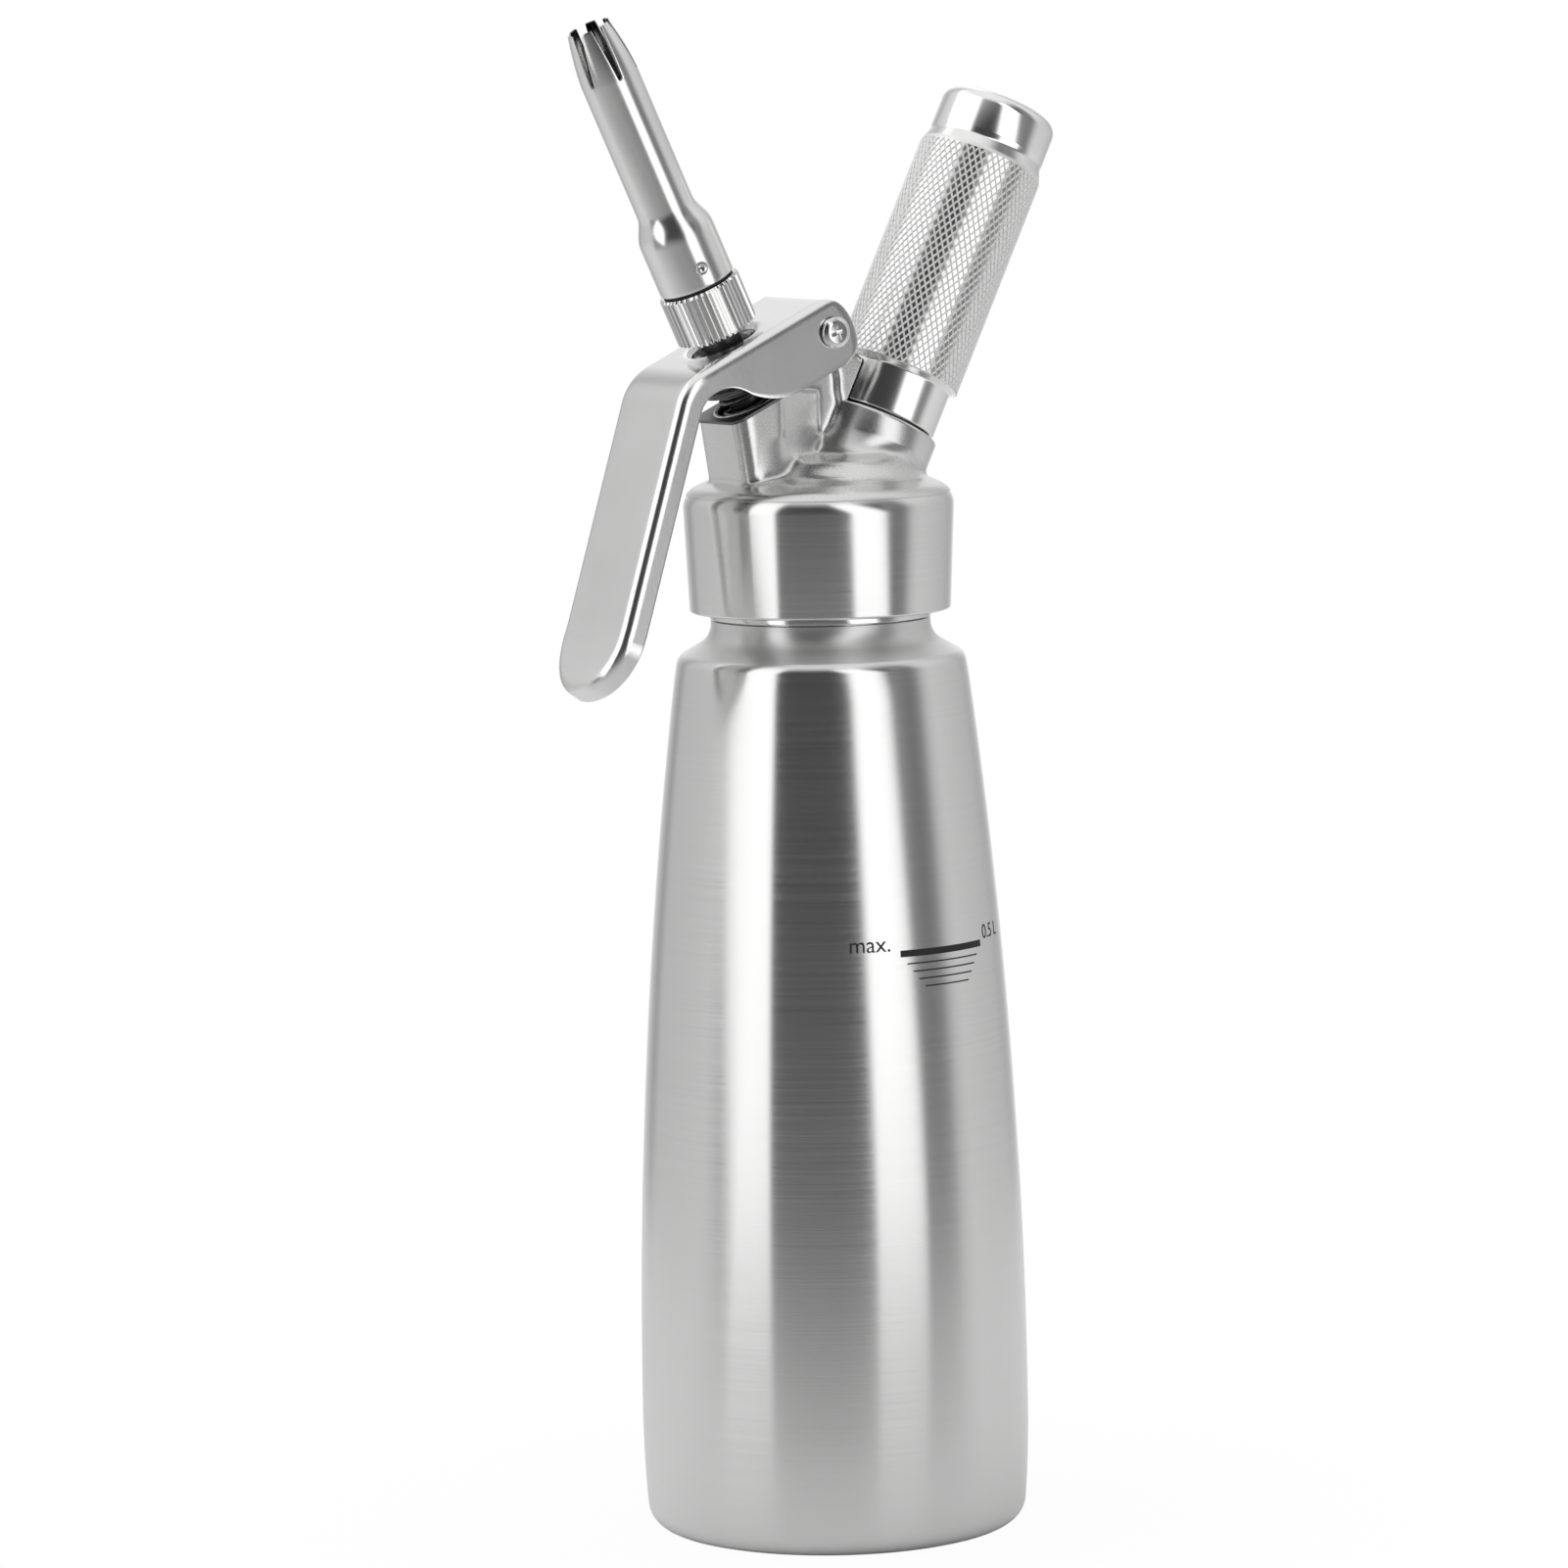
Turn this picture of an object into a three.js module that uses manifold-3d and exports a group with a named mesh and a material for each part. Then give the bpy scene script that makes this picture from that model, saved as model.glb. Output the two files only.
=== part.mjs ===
// Whipped cream dispenser: a drawn steel bottle, a cast head, a lever valve with its nozzle, and a
// gas charger in a screwed holder. Lengths are in millimetres and +Z is up. The bottle stands on
// Z = 0 with its axis on Z. The nozzle leans to -X, the charger holder to +X, both in the plane Y = 0.
import * as THREE from 'three';
import { mergeVertices } from 'three/addons/utils/BufferGeometryUtils.js';
import Module from 'manifold-3d';

const wasm = await Module();
wasm.setup();

// General
const overrun = 2; // how far a cutter passes the face that it cuts
const seatGap = 0.3; // gap between pieces that rest on each other
const slip = 0.3; // radial clearance of a piece that slides or turns in a bore
const threadRoom = 0.45; // radial clearance between a screwed pair's threads
const bury = 0.4; // how deep a boss or thread reaches into the wall that carries it
const mergeDistance = 1e-4; // points closer than this are one
const largeSides = 32;
const mediumSides = 24;
const smallSides = 16;
const radians = THREE.MathUtils.degToRad;

// Threaded neck ring, welded into the bottle's mouth
const neckLip = 200; // height of the ring's sealing lip
const neckRootRadius = 21.2;
const neckWall = 2.6;
const neckBore = neckRootRadius - neckWall;
const neckThreadHeight = 1.2;
const neckCrestRadius = neckRootRadius + neckThreadHeight;
const mouthStep = 0.5;
const neckRadius = neckRootRadius + mouthStep; // the bottle's mouth
const bandStep = 0.2;
const bandRadius = neckRadius + bandStep; // polished band under the skirt
const bandHeight = 3.4;
const neckSocket = 5; // how far the ring reaches down into the mouth
const neckPitch = 4;
const neckThreadDrop = 12; // from the lip down to the thread's start
const neckThreadStart = neckLip - neckThreadDrop;
const neckThreadTurns = 2.5;
const neckFlank = 1.8; // width of the ridge where it leaves the wall
const neckCrest = 0.9; // width of the ridge's top

// Bottle
const bellyRadius = 38.5;
const bellyHeight = 23;
const footStep = 1.1;
const footRadius = bellyRadius - footStep; // outline radius where the foot's corner begins
const footCorner = 4.6;
const shoulderWidth = 7.1;
const shoulderRadius = neckRadius + shoulderWidth;
const shoulderDrop = 27.5; // from the neck's lip down to the shoulder's corner
const shoulderHeight = neckLip - shoulderDrop;
const shoulderCorner = 3;
const shoulderSlope = 30; // degrees
const mouthFillet = 2.6;
const bottleWall = 1;
const baseThickness = 1.6;

// Head casting
const skirtDrop = 17.2; // from the neck's lip down to the skirt's rim
const skirtBottom = neckLip - skirtDrop;
const headRoot = neckCrestRadius + threadRoom;
const headCrest = neckRootRadius + threadRoom;
const skirtWall = 2.95;
const skirtFootRadius = headRoot + skirtWall;
const skirtFlare = 1.05;
const skirtTopRadius = skirtFootRadius + skirtFlare;
const skirtRise = 3;
const skirtTop = neckLip + skirtRise;
const skirtEdge = 0.6; // chamfer of the lower rim
const crownCorner = 4.2; // round edge from the skirt to the crown
const crownSweep = 72; // degrees of that edge
const crownHeight = 12; // from the skirt's top to the crown's middle
const crownTop = skirtTop + crownHeight;
const headThreadTurns = 2.25;
const gasketDeep = 2.6; // height of the gasket's seat above the neck's lip
const gasketCeiling = neckLip + gasketDeep;
const gasketThickness = 2;
const gasketRoom = 0.25;
const gasketInner = neckBore + gasketRoom;
const gasketOuter = neckRootRadius + gasketRoom;
const ceilingStep = 4.1;
const ceilingRadius = neckBore - ceilingStep;
const ceilingRise = 3.4;
const ceilingHeight = gasketCeiling + ceilingRise;

// Axes of the nozzle and the charger holder, which meet on the bottle's axis
const axesDrop = 9.3; // from the neck's lip down to that point
const axesHeight = neckLip - axesDrop;
const nozzleLean = 24.9; // degrees from the vertical, towards -X
const holderLean = 26.4; // degrees from the vertical, towards +X

// Valve seat and turret: places are distances along the nozzle's axis from where the axes meet
const seatDrop = 4.6; // from the head's ceiling down to the valve's seat
const seatPlace = (ceilingHeight - axesHeight) / Math.cos(radians(nozzleLean)) - seatDrop;
const valveBore = 4.6;
const shankStep = 0.9;
const stemShank = valveBore - shankStep;
const springWire = 1; // diameter
const springTurns = 6;
const springInside = 0.75; // room between the stem's shank and the spring
const springRadius = stemShank + springInside + springWire / 2; // to the middle of the wire
const springOutside = 0.85; // room between the spring and its pocket
const springPocket = springRadius + springWire / 2 + springOutside;
const pocketRise = 12.6;
const springFloor = seatPlace + pocketRise;
const pocketDepth = 12.7;
const turretTop = springFloor + pocketDepth;
const rimLand = 0.5;
const turretChamfer = 1.6; // height of the turned cone round the rim
const turretChamferRun = 3;
const turretRadius = springPocket + rimLand + turretChamferRun;
const turretFootStep = 1.8;
const turretFootRadius = turretRadius + turretFootStep;
const turretFootRise = 1;
const turretFootHeight = ceilingHeight + turretFootRise;
const turretFootShift = 2.5; // how far the foot stands out past the axis
const turretFootX = -(turretFootHeight - axesHeight) * Math.tan(radians(nozzleLean)) - turretFootShift;
const webHalf = 3;

// Charger socket: places are distances along the holder's axis from where the axes meet
const bossRise = 14.8;
const bossTop = (ceilingHeight - axesHeight) / Math.cos(radians(holderLean)) + bossRise;
const bossLength = 10.9;
const bossFoot = bossTop - bossLength;
const bossRound = 1.5; // round edge of the boss's rim
const spigotLength = 12.1;
const spigotTop = bossTop + spigotLength;
const spigotPitch = 2.5;
const spigotThreadStart = bossTop + 2 * spigotPitch;
const spigotThreadTurns = 2.5;
const spigotThreadHeight = 0.9;
const spigotFlank = 1.05;
const spigotCrestWidth = 0.5;
const gasPassage = 1.3;
const plugDrop = 6;
const plugBottom = bossTop - plugDrop;
const plugRadius = 4.6;
const plugThickness = 4.6;
const checkRadius = 3.6;
const checkThickness = 2.4;
const checkRimShare = 0.8; // height of the check valve's rim
const checkRoom = 0.6;
const checkChamber = checkRadius + checkRoom;
const checkFloor = plugBottom - checkThickness - seatGap;
const pinRadius = 1.15;
const pinBore = 0.45;
const pinFlange = 2.3;
const pinFlangeThickness = 1.2;
const pinReach = 3.4; // how far the point stands inside the charger
const pinPoint = 2; // length of the point
const sealInner = 2.2;
const sealThickness = 1.5;
const chargerSeat = plugBottom + plugThickness + sealThickness + 2 * seatGap; // the charger's tip

// Gas charger
const chargerLength = 65.2;
const chargerRadius = 8.95;
const chargerNeckRadius = 4.35;
const chargerNeckLength = 9;
const chargerShoulder = 8; // length of the shoulder's slope
const chargerWall = 1.4;
const chargerTipHole = 1.5;
const chargerRound = 5;

// Charger holder and the spigot that it screws onto
const chargerRoom = 0.4;
const holderBore = chargerRadius + chargerRoom;
const spigotRoot = holderBore;
const spigotCrest = spigotRoot + spigotThreadHeight;
const holderThreadRoot = spigotCrest + threadRoom;
const collarWall = 0.6;
const collarRadius = holderThreadRoot + collarWall; // smooth collar at the open end
const collarLength = 10.1;
const capStep = 0.45;
const capRadius = collarRadius + capStep; // smooth collar at the closed end
const capLength = 9.1;
const capCone = 3.2; // height of the cone between the knurl and the closed end's collar
const capRound = 3;
const knurlHeight = 1.35;
const knurlRadius = collarRadius + knurlHeight;
const knurlStep = 1.1; // height of the cone at the knurl's lower end
const holderBottom = bossTop + 2 * seatGap;
const holderEnd = 2.3; // thickness of the closed end
const holderTop = chargerSeat + chargerLength + seatGap + holderEnd;
const holderThreadTurns = 2.75;
const holderThreadRelief = 2.4; // room past the spigot's end
const bossStep = 1.1;
const bossRadius = collarRadius + bossStep;
const bossFlare = 1.2;
const bossFootRadius = bossRadius + bossFlare;

// Valve stem, along the nozzle's axis
const stemBore = 1.5;
const stemTail = 2.6;
const stemTailLength = 5.3; // from the seat down to the tail's end
const stemWaist = 3.2;
const landStart = 5.2; // from the seat up to the stem's guide land
const landClearance = 0.6;
const stemLandStart = seatPlace + landStart;
const stemLandEnd = springFloor - landClearance;
const stemLift = 3.8; // from the turret's rim up to the flange
const flangePlace = turretTop + stemLift;
const flangeThickness = 1.2;
const flangeOverhang = 1.3;
const flangeRadius = springPocket + flangeOverhang;
const portRadius = 1;
const portRise = 2.4;
const portPlace = seatPlace + portRise;
const grooveRise = 2.2;
const grooveStart = stemLandStart + grooveRise;
const grooveWidth = 2.2;
const grooveRadius = 2.45;
const ringWire = 0.8;
const valveSealOuter = 6.4;
const valveSealThickness = 2;
const valveNutRadius = 6.6;
const valveNutThickness = 3.2;
const seatBossWall = 0.8;
const seatBossRadius = valveSealOuter + seatBossWall;

// Lever, in the nozzle's frame: t runs square to the nozzle's axis, s along it
const sheet = 2;
const leverWidth = 24;
const dishDepth = 1.4;
const sleeveLength = 4.6; // from the flange up to the lever's dish
const plateTop = flangePlace + flangeThickness + sleeveLength + seatGap + sheet + dishDepth;
const sleeveRadius = 5.6;
const dishRadius = 8;
const stemHole = 5;
const pivotT = 17.19;
const lugEyeRadius = 4.2;
const lugRoom = 0.53; // between the lug's eye and the lever's plate
const pivotS = plateTop - sheet - lugRoom - lugEyeRadius;
const plateOverhang = 0.8;
const plateRear = pivotT + plateOverhang; // t of the plate's rear edge
const bendT = -16.84; // t where the plate's and the paddle's outer faces would meet
const bendRadius = 11;
const paddleTurn = 47.8; // degrees between the plate and the paddle
const paddleStraight = 47.9; // from that meeting line to the flare
const flareRadius = 48;
const flareTurn = 18; // degrees
const flangeDepth = 5;
const cheekDepth = 13.6;
const cheekOverhang = 4.6;
const cheekRear = pivotT + cheekOverhang;
const cheekCorner = 4.5;
const cheekRun = 13.7;
const cheekFront = pivotT - cheekRun; // t where the cheek's lower edge starts to rise
const archRun = 5.84;
const archT = bendT + archRun; // t of the top of the arch in front of the cheek
const archDepth = 5;
const archHalfRun = 6.4;
const archMiddle = archT + archHalfRun; // t where the cheek's front edge is half way down

// Lever pivot
const bushRadius = 3.1;
const bushHalf = leverWidth / 2 - sheet - seatGap;
const screwRadius = 1.75;
const screwHead = 3.1;
const screwHeadHeight = 2;
const screwCrownShare = 0.75; // radius where the pan head's crown begins
const nutRadius = 3.4;
const nutHeight = 3.2;
const recessWidth = 0.9;
const recessSpan = 3.4;
const recessDepth = 1.1;

// Lug that carries the pivot
const nozzleTurn = radians(nozzleLean);
const pivotX = pivotT * Math.cos(nozzleTurn) - pivotS * Math.sin(nozzleTurn);
const pivotHeight = axesHeight + pivotT * Math.sin(nozzleTurn) + pivotS * Math.cos(nozzleTurn);
const lugHalf = 4.15;
const lugEyeSweep = 225; // degrees of the eye's outline, from +X round to the waist
const lugWaistRun = 6.3;
const lugWaistX = pivotX + lugWaistRun;
const lugWaistDrop = 9.5;
const lugWaistHeight = pivotHeight - lugWaistDrop;
const lugToe = 5; // how far the lug spreads at its foot
const lugWidth = 10;
const lugRightX = lugWaistX + lugWidth;
const lugFootHalf = 6.5;
const lugFootRun = 1.8;
const lugFootX = lugWaistX - lugFootRun;
const lugFootRise = 6;
const lugFootTop = crownTop + lugFootRise;

// Knurled tip adapter
const adapterGap = 1.95; // from the lever's plate up to the adapter
const adapterBottom = plateTop + adapterGap;
const adapterLength = 10.25;
const adapterTop = adapterBottom + adapterLength;
const tipSealRadius = 7.4;
const adapterLand = 0.75;
const adapterRadius = tipSealRadius + adapterLand;
const adapterEdge = 0.5;
const adapterRibs = 40;
const ribDepth = 0.35;
const adapterBore = 2.6;
const stemNeck = 3.8;
const stemEngage = 7.95;
const stemTop = adapterBottom + stemEngage;
const tipRoot = 5.3;
const tipThreadHeight = 0.65;
const tipCrest = tipRoot + tipThreadHeight;
const tipPitch = 2;
const tipThreadRise = 2.5;
const tipThreadStart = adapterTop + tipThreadRise;
const tipThreadTurns = 2.75;
const tipFlank = 0.85;
const tipCrestWidth = 0.35;
const spigotReach = 8.7;
const adapterSpigotTop = adapterTop + spigotReach;
const tipSealThickness = 0.6;

// Nozzle tip
const tipSealBottom = adapterTop + seatGap / 2;
const bellBottom = tipSealBottom + tipSealThickness + seatGap;
const socketRoot = tipCrest + threadRoom;
const bellWall = 1.2;
const bellRadius = socketRoot + bellWall;
const socketRelief = 1.2;
const bellSocket = adapterSpigotTop + socketRelief; // where the threaded socket ends
const bellCover = 0.9;
const bellTop = bellSocket + bellCover;
const bellSlope = 6; // length of the curve down to the shaft
// Fall towards the shaft, rise along the slope
const bellCurveShares = [[0.22, 0.33], [0.78, 0.65]];
const tipBore = 4.9;
const tipWall = 0.9;
const shaftRadius = tipBore + tipWall;
const nozzleLength = 55.3;
const mouthPlace = adapterTop + nozzleLength;
const taperLength = 10.9;
const taperStart = mouthPlace - taperLength;
const mouthBore = 3.65;
const mouthWall = 0.65;
const mouthRadius = mouthBore + mouthWall;
const slotLength = 11;
const slotBottom = mouthPlace - slotLength;
const slotHalf = 1.2; // half the slot's width at the mouth
const slotFloorHalf = 0.45;
const slotPairs = 3;
const slotTurn = -10; // degrees round the nozzle, from -Y
const dimpleRadius = 1.1;
const dimpleRise = 5.1;
const dimplePlace = adapterTop + dimpleRise;
const dimpleAngle = -15.5; // degrees round the nozzle, from -Y

// Profiles and solids

function signedVolume(positions, triangles) {
  const a = new THREE.Vector3();
  const b = new THREE.Vector3();
  const c = new THREE.Vector3();
  let sum = 0;
  for (let i = 0; i < triangles.length; i += 3) {
    a.fromArray(positions, 3 * triangles[i]);
    b.fromArray(positions, 3 * triangles[i + 1]);
    c.fromArray(positions, 3 * triangles[i + 2]);
    sum += a.dot(b.cross(c));
  }
  return sum;
}

// A closed geometry becomes a solid: shared vertices are merged, empty triangles dropped and the
// faces turned outwards.
function solid(geometry, matrix = new THREE.Matrix4()) {
  const bare = geometry.clone();
  bare.deleteAttribute('normal');
  bare.deleteAttribute('uv');
  bare.applyMatrix4(matrix);
  const merged = mergeVertices(bare, mergeDistance);
  const positions = merged.attributes.position.array;
  const triangles = [];
  const index = merged.index.array;
  for (let i = 0; i < index.length; i += 3) {
    const [a, b, c] = [index[i], index[i + 1], index[i + 2]];
    if (a !== b && b !== c && c !== a) triangles.push(a, b, c);
  }
  if (signedVolume(positions, triangles) < 0) triangles.reverse();
  return new wasm.Manifold(new wasm.Mesh({
    numProp: 3,
    vertProperties: new Float32Array(positions),
    triVerts: new Uint32Array(triangles),
  }));
}

function geometryOf(manifold) {
  const mesh = manifold.getMesh();
  const geometry = new THREE.BufferGeometry();
  geometry.setAttribute('position', new THREE.BufferAttribute(mesh.vertProperties, 3));
  geometry.setIndex(new THREE.BufferAttribute(mesh.triVerts, 1));
  geometry.computeVertexNormals();
  return geometry;
}

// Turns a closed outline of [radius, height] points about Z.
function turned(outline, sides, matrix) {
  const closed = [...outline, outline[0]].map(([r, z]) => new THREE.Vector2(r, z));
  const geometry = new THREE.LatheGeometry(closed, sides);
  geometry.rotateX(Math.PI / 2);
  return solid(geometry, matrix);
}

function rod(radius, from, to, sides, matrix) {
  return turned([[0, from], [radius, from], [radius, to], [0, to]], sides, matrix);
}

function tube(inner, outer, from, to, sides, matrix) {
  return turned([[inner, from], [outer, from], [outer, to], [inner, to]], sides, matrix);
}

// Points of an arc in an outline, both ends included.
function arc(centreR, centreZ, radius, fromDegrees, toDegrees, steps) {
  const points = [];
  for (let i = 0; i <= steps; i += 1) {
    const angle = radians(fromDegrees + ((toDegrees - fromDegrees) * i) / steps);
    points.push([centreR + radius * Math.cos(angle), centreZ + radius * Math.sin(angle)]);
  }
  return points;
}

// A plate in the XZ plane of the given frame, from the outline's own plane Z = 0 to both sides.
function plate(shape, half, matrix = new THREE.Matrix4()) {
  const geometry = new THREE.ExtrudeGeometry(shape, {
    depth: 2 * half,
    bevelEnabled: false,
    curveSegments: 5,
  });
  geometry.translate(0, 0, -half);
  geometry.rotateX(Math.PI / 2);
  return solid(geometry, matrix);
}

// A skin over rings of points, closed by a fan at each end.
function skin(rings) {
  const count = rings[0].length;
  const positions = rings.flat().flatMap((p) => [p.x, p.y, p.z]);
  const triangles = [];
  for (let i = 0; i + 1 < rings.length; i += 1) {
    for (let j = 0; j < count; j += 1) {
      const [a, b] = [i * count + j, i * count + ((j + 1) % count)];
      triangles.push(a, b, a + count, b, b + count, a + count);
    }
  }
  const last = rings.length - 1;
  [[rings[0], 0, 1], [rings[last], last * count, -1]].forEach(([ring, first, way]) => {
    const middle = ring.reduce((sum, p) => sum.add(p), new THREE.Vector3()).divideScalar(count);
    const centre = positions.length / 3;
    positions.push(middle.x, middle.y, middle.z);
    for (let j = 0; j < count; j += 1) {
      const [a, b] = [first + j, first + ((j + 1) % count)];
      triangles.push(...(way > 0 ? [b, a, centre] : [a, b, centre]));
    }
  });
  const geometry = new THREE.BufferGeometry();
  geometry.setAttribute('position', new THREE.Float32BufferAttribute(positions, 3));
  geometry.setIndex(triangles);
  return geometry;
}

// One right-hand thread ridge about Z, rooted a little inside the wall at its foot.
function ridge({ foot, crest, flank, top, pitch, start, turns, sides, matrix }) {
  const steps = Math.round(sides * turns);
  const rooted = foot + (foot < crest ? -bury : bury);
  const rings = [];
  for (let i = 0; i <= steps; i += 1) {
    const angle = (2 * Math.PI * turns * i) / steps;
    const height = start + (pitch * turns * i) / steps;
    const at = (r, z) => new THREE.Vector3(r * Math.cos(angle), r * Math.sin(angle), height + z);
    rings.push([at(rooted, -flank / 2), at(crest, -top / 2), at(crest, top / 2), at(rooted, flank / 2)]);
  }
  return solid(skin(rings), matrix);
}

function joined(first, ...others) {
  return others.reduce((sum, other) => sum.add(other), first);
}

function cut(first, ...others) {
  return others.reduce((rest, other) => rest.subtract(other), first);
}

// Frames

const model = new THREE.Group();

function leaningFrame(degrees) {
  const frame = new THREE.Group();
  frame.position.set(0, 0, axesHeight);
  frame.rotation.y = radians(degrees);
  frame.updateMatrix();
  model.add(frame);
  return frame;
}

const valveFrame = leaningFrame(-nozzleLean);
const gasFrame = leaningFrame(holderLean);

function finish(color, roughness, metalness = 1) {
  return new THREE.MeshStandardMaterial({ color, roughness, metalness });
}

const brushedSteel = finish(0xc9cacb, 0.35);
const polishedSteel = finish(0xdcdcdd, 0.12);
const castSteel = finish(0xc4c5c6, 0.25);
const darkSteel = finish(0x5a5a5c, 0.4);
const springSteel = finish(0x8f9092, 0.3);
const brass = finish(0xb99a52, 0.35);
const blackRubber = finish(0x1b1b1c, 0.7, 0);
const redSilicone = finish(0xb4402f, 0.6, 0);
const greySilicone = finish(0x8a8c8e, 0.6, 0);

function add(name, manifold, material, frame = model) {
  const mesh = new THREE.Mesh(geometryOf(manifold), material);
  mesh.name = name;
  frame.add(mesh);
}

// Bottle and neck

// The wall bulges to its belly and narrows to the shoulder as a parabola.
function bottleRadius(height) {
  const above = (height - bellyHeight) / (shoulderHeight - bellyHeight);
  const below = (bellyHeight - height) / bellyHeight;
  if (height > bellyHeight) return bellyRadius - (bellyRadius - shoulderRadius) * above ** 2;
  return bellyRadius - (bellyRadius - footRadius) * below ** 2;
}

// The body's outline set in by the wall. The shoulder's corner turns into a cone, and the cone into
// the mouth through a hollow fillet.
function bodyOutline(inset, floor, spans) {
  const corner = footCorner - inset;
  const turn = radians(shoulderSlope);
  const cornerR = shoulderRadius - shoulderCorner;
  const coneR = cornerR + shoulderCorner * Math.sin(turn);
  const coneZ = shoulderHeight + shoulderCorner * Math.cos(turn);
  const filletEndR = neckRadius + mouthFillet * (1 - Math.sin(turn));
  const filletZ = coneZ + (coneR - filletEndR) * Math.tan(turn) + mouthFillet * Math.cos(turn);
  const points = arc(bottleRadius(footCorner) - footCorner, footCorner, corner, -90, 0, 3);
  points.forEach((point) => { point[1] = Math.max(point[1], floor); });
  for (let i = 1; i <= spans; i += 1) {
    const height = footCorner + ((shoulderHeight - footCorner) * i) / spans;
    points.push([bottleRadius(height) - inset, height]);
  }
  points.push(...arc(cornerR, shoulderHeight, shoulderCorner - inset, 0, 90 - shoulderSlope, 3).slice(1));
  points.push(...arc(neckRadius + mouthFillet, filletZ, mouthFillet + inset, 270 - shoulderSlope, 180, 3));
  return { points, top: filletZ };
}

const outer = bodyOutline(0, 0, 9);
const inner = bodyOutline(bottleWall, baseThickness, 6);
const bottleTop = outer.top;

function bottleBody() {
  return turned([[0, 0], ...outer.points, ...inner.points.reverse(), [0, baseThickness]], largeSides);
}

function neckRing() {
  const socketRadius = neckRadius - bottleWall - slip;
  const bandBottom = bottleTop + seatGap;
  const bandTop = bandBottom + bandHeight;
  const edge = (neckCrestRadius - neckRootRadius) / 2;
  const wall = turned([
    [neckBore, bottleTop - neckSocket], [socketRadius, bottleTop - neckSocket], [socketRadius, bandBottom],
    [bandRadius, bandBottom], [bandRadius, bandTop - edge], [neckRootRadius, bandTop],
    [neckRootRadius, neckLip - edge], [neckRootRadius - edge, neckLip], [neckBore, neckLip],
  ], largeSides);
  return wall.add(ridge({
    foot: neckRootRadius,
    crest: neckCrestRadius,
    flank: neckFlank,
    top: neckCrest,
    pitch: neckPitch,
    start: neckThreadStart,
    turns: neckThreadTurns,
    sides: largeSides / 2,
  }));
}

// Head

function crown() {
  const cornerR = skirtTopRadius - crownCorner;
  const rim = arc(cornerR, skirtTop, crownCorner, 0, crownSweep, 3);
  return turned([
    [0, skirtBottom], [skirtFootRadius - skirtEdge, skirtBottom],
    [skirtFootRadius, skirtBottom + skirtEdge], ...rim, [0, crownTop],
  ], largeSides);
}

function headCavity() {
  return turned([
    [0, skirtBottom - overrun], [headRoot + skirtEdge + overrun, skirtBottom - overrun],
    [headRoot, skirtBottom + skirtEdge], [headRoot, gasketCeiling],
    [ceilingRadius, gasketCeiling], [ceilingRadius, ceilingHeight], [0, ceilingHeight],
  ], largeSides);
}

// The column is skinned from the turned rim down to a wider foot on the crown.
function turretColumn() {
  const rim = [];
  const foot = [];
  for (let i = 0; i < mediumSides; i += 1) {
    const angle = (2 * Math.PI * i) / mediumSides;
    const [c, s] = [Math.cos(angle), Math.sin(angle)];
    rim.push(new THREE.Vector3(turretRadius * c, turretRadius * s, turretTop - turretChamfer)
      .applyMatrix4(valveFrame.matrix));
    foot.push(new THREE.Vector3(
      turretFootX + turretFootRadius * c, turretFootRadius * s, turretFootHeight,
    ));
  }
  const cone = turned([
    [0, turretTop - turretChamfer - bury], [turretRadius, turretTop - turretChamfer - bury],
    [turretRadius, turretTop - turretChamfer], [turretRadius - turretChamferRun, turretTop], [0, turretTop],
  ], mediumSides, valveFrame.matrix);
  return solid(skin([rim, foot])).add(cone);
}

function chargerBoss() {
  const chamfer = (spigotCrest - spigotRoot) / 2;
  const boss = turned([
    [0, bossFoot - bossRadius / 2], [bossFootRadius, bossFoot - bossRadius / 2], [bossFootRadius, bossFoot],
    [bossRadius, (bossFoot + bossTop) / 2],
    ...arc(bossRadius - bossRound, bossTop - bossRound, bossRound, 0, 90, 2), [spigotRoot, bossTop],
    [spigotRoot, spigotTop - chamfer], [spigotRoot - chamfer, spigotTop], [0, spigotTop],
  ], mediumSides, gasFrame.matrix);
  return boss.add(ridge({
    foot: spigotRoot,
    crest: spigotCrest,
    flank: spigotFlank,
    top: spigotCrestWidth,
    pitch: spigotPitch,
    start: spigotThreadStart,
    turns: spigotThreadTurns,
    sides: mediumSides / 2,
    matrix: gasFrame.matrix,
  }));
}

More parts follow.
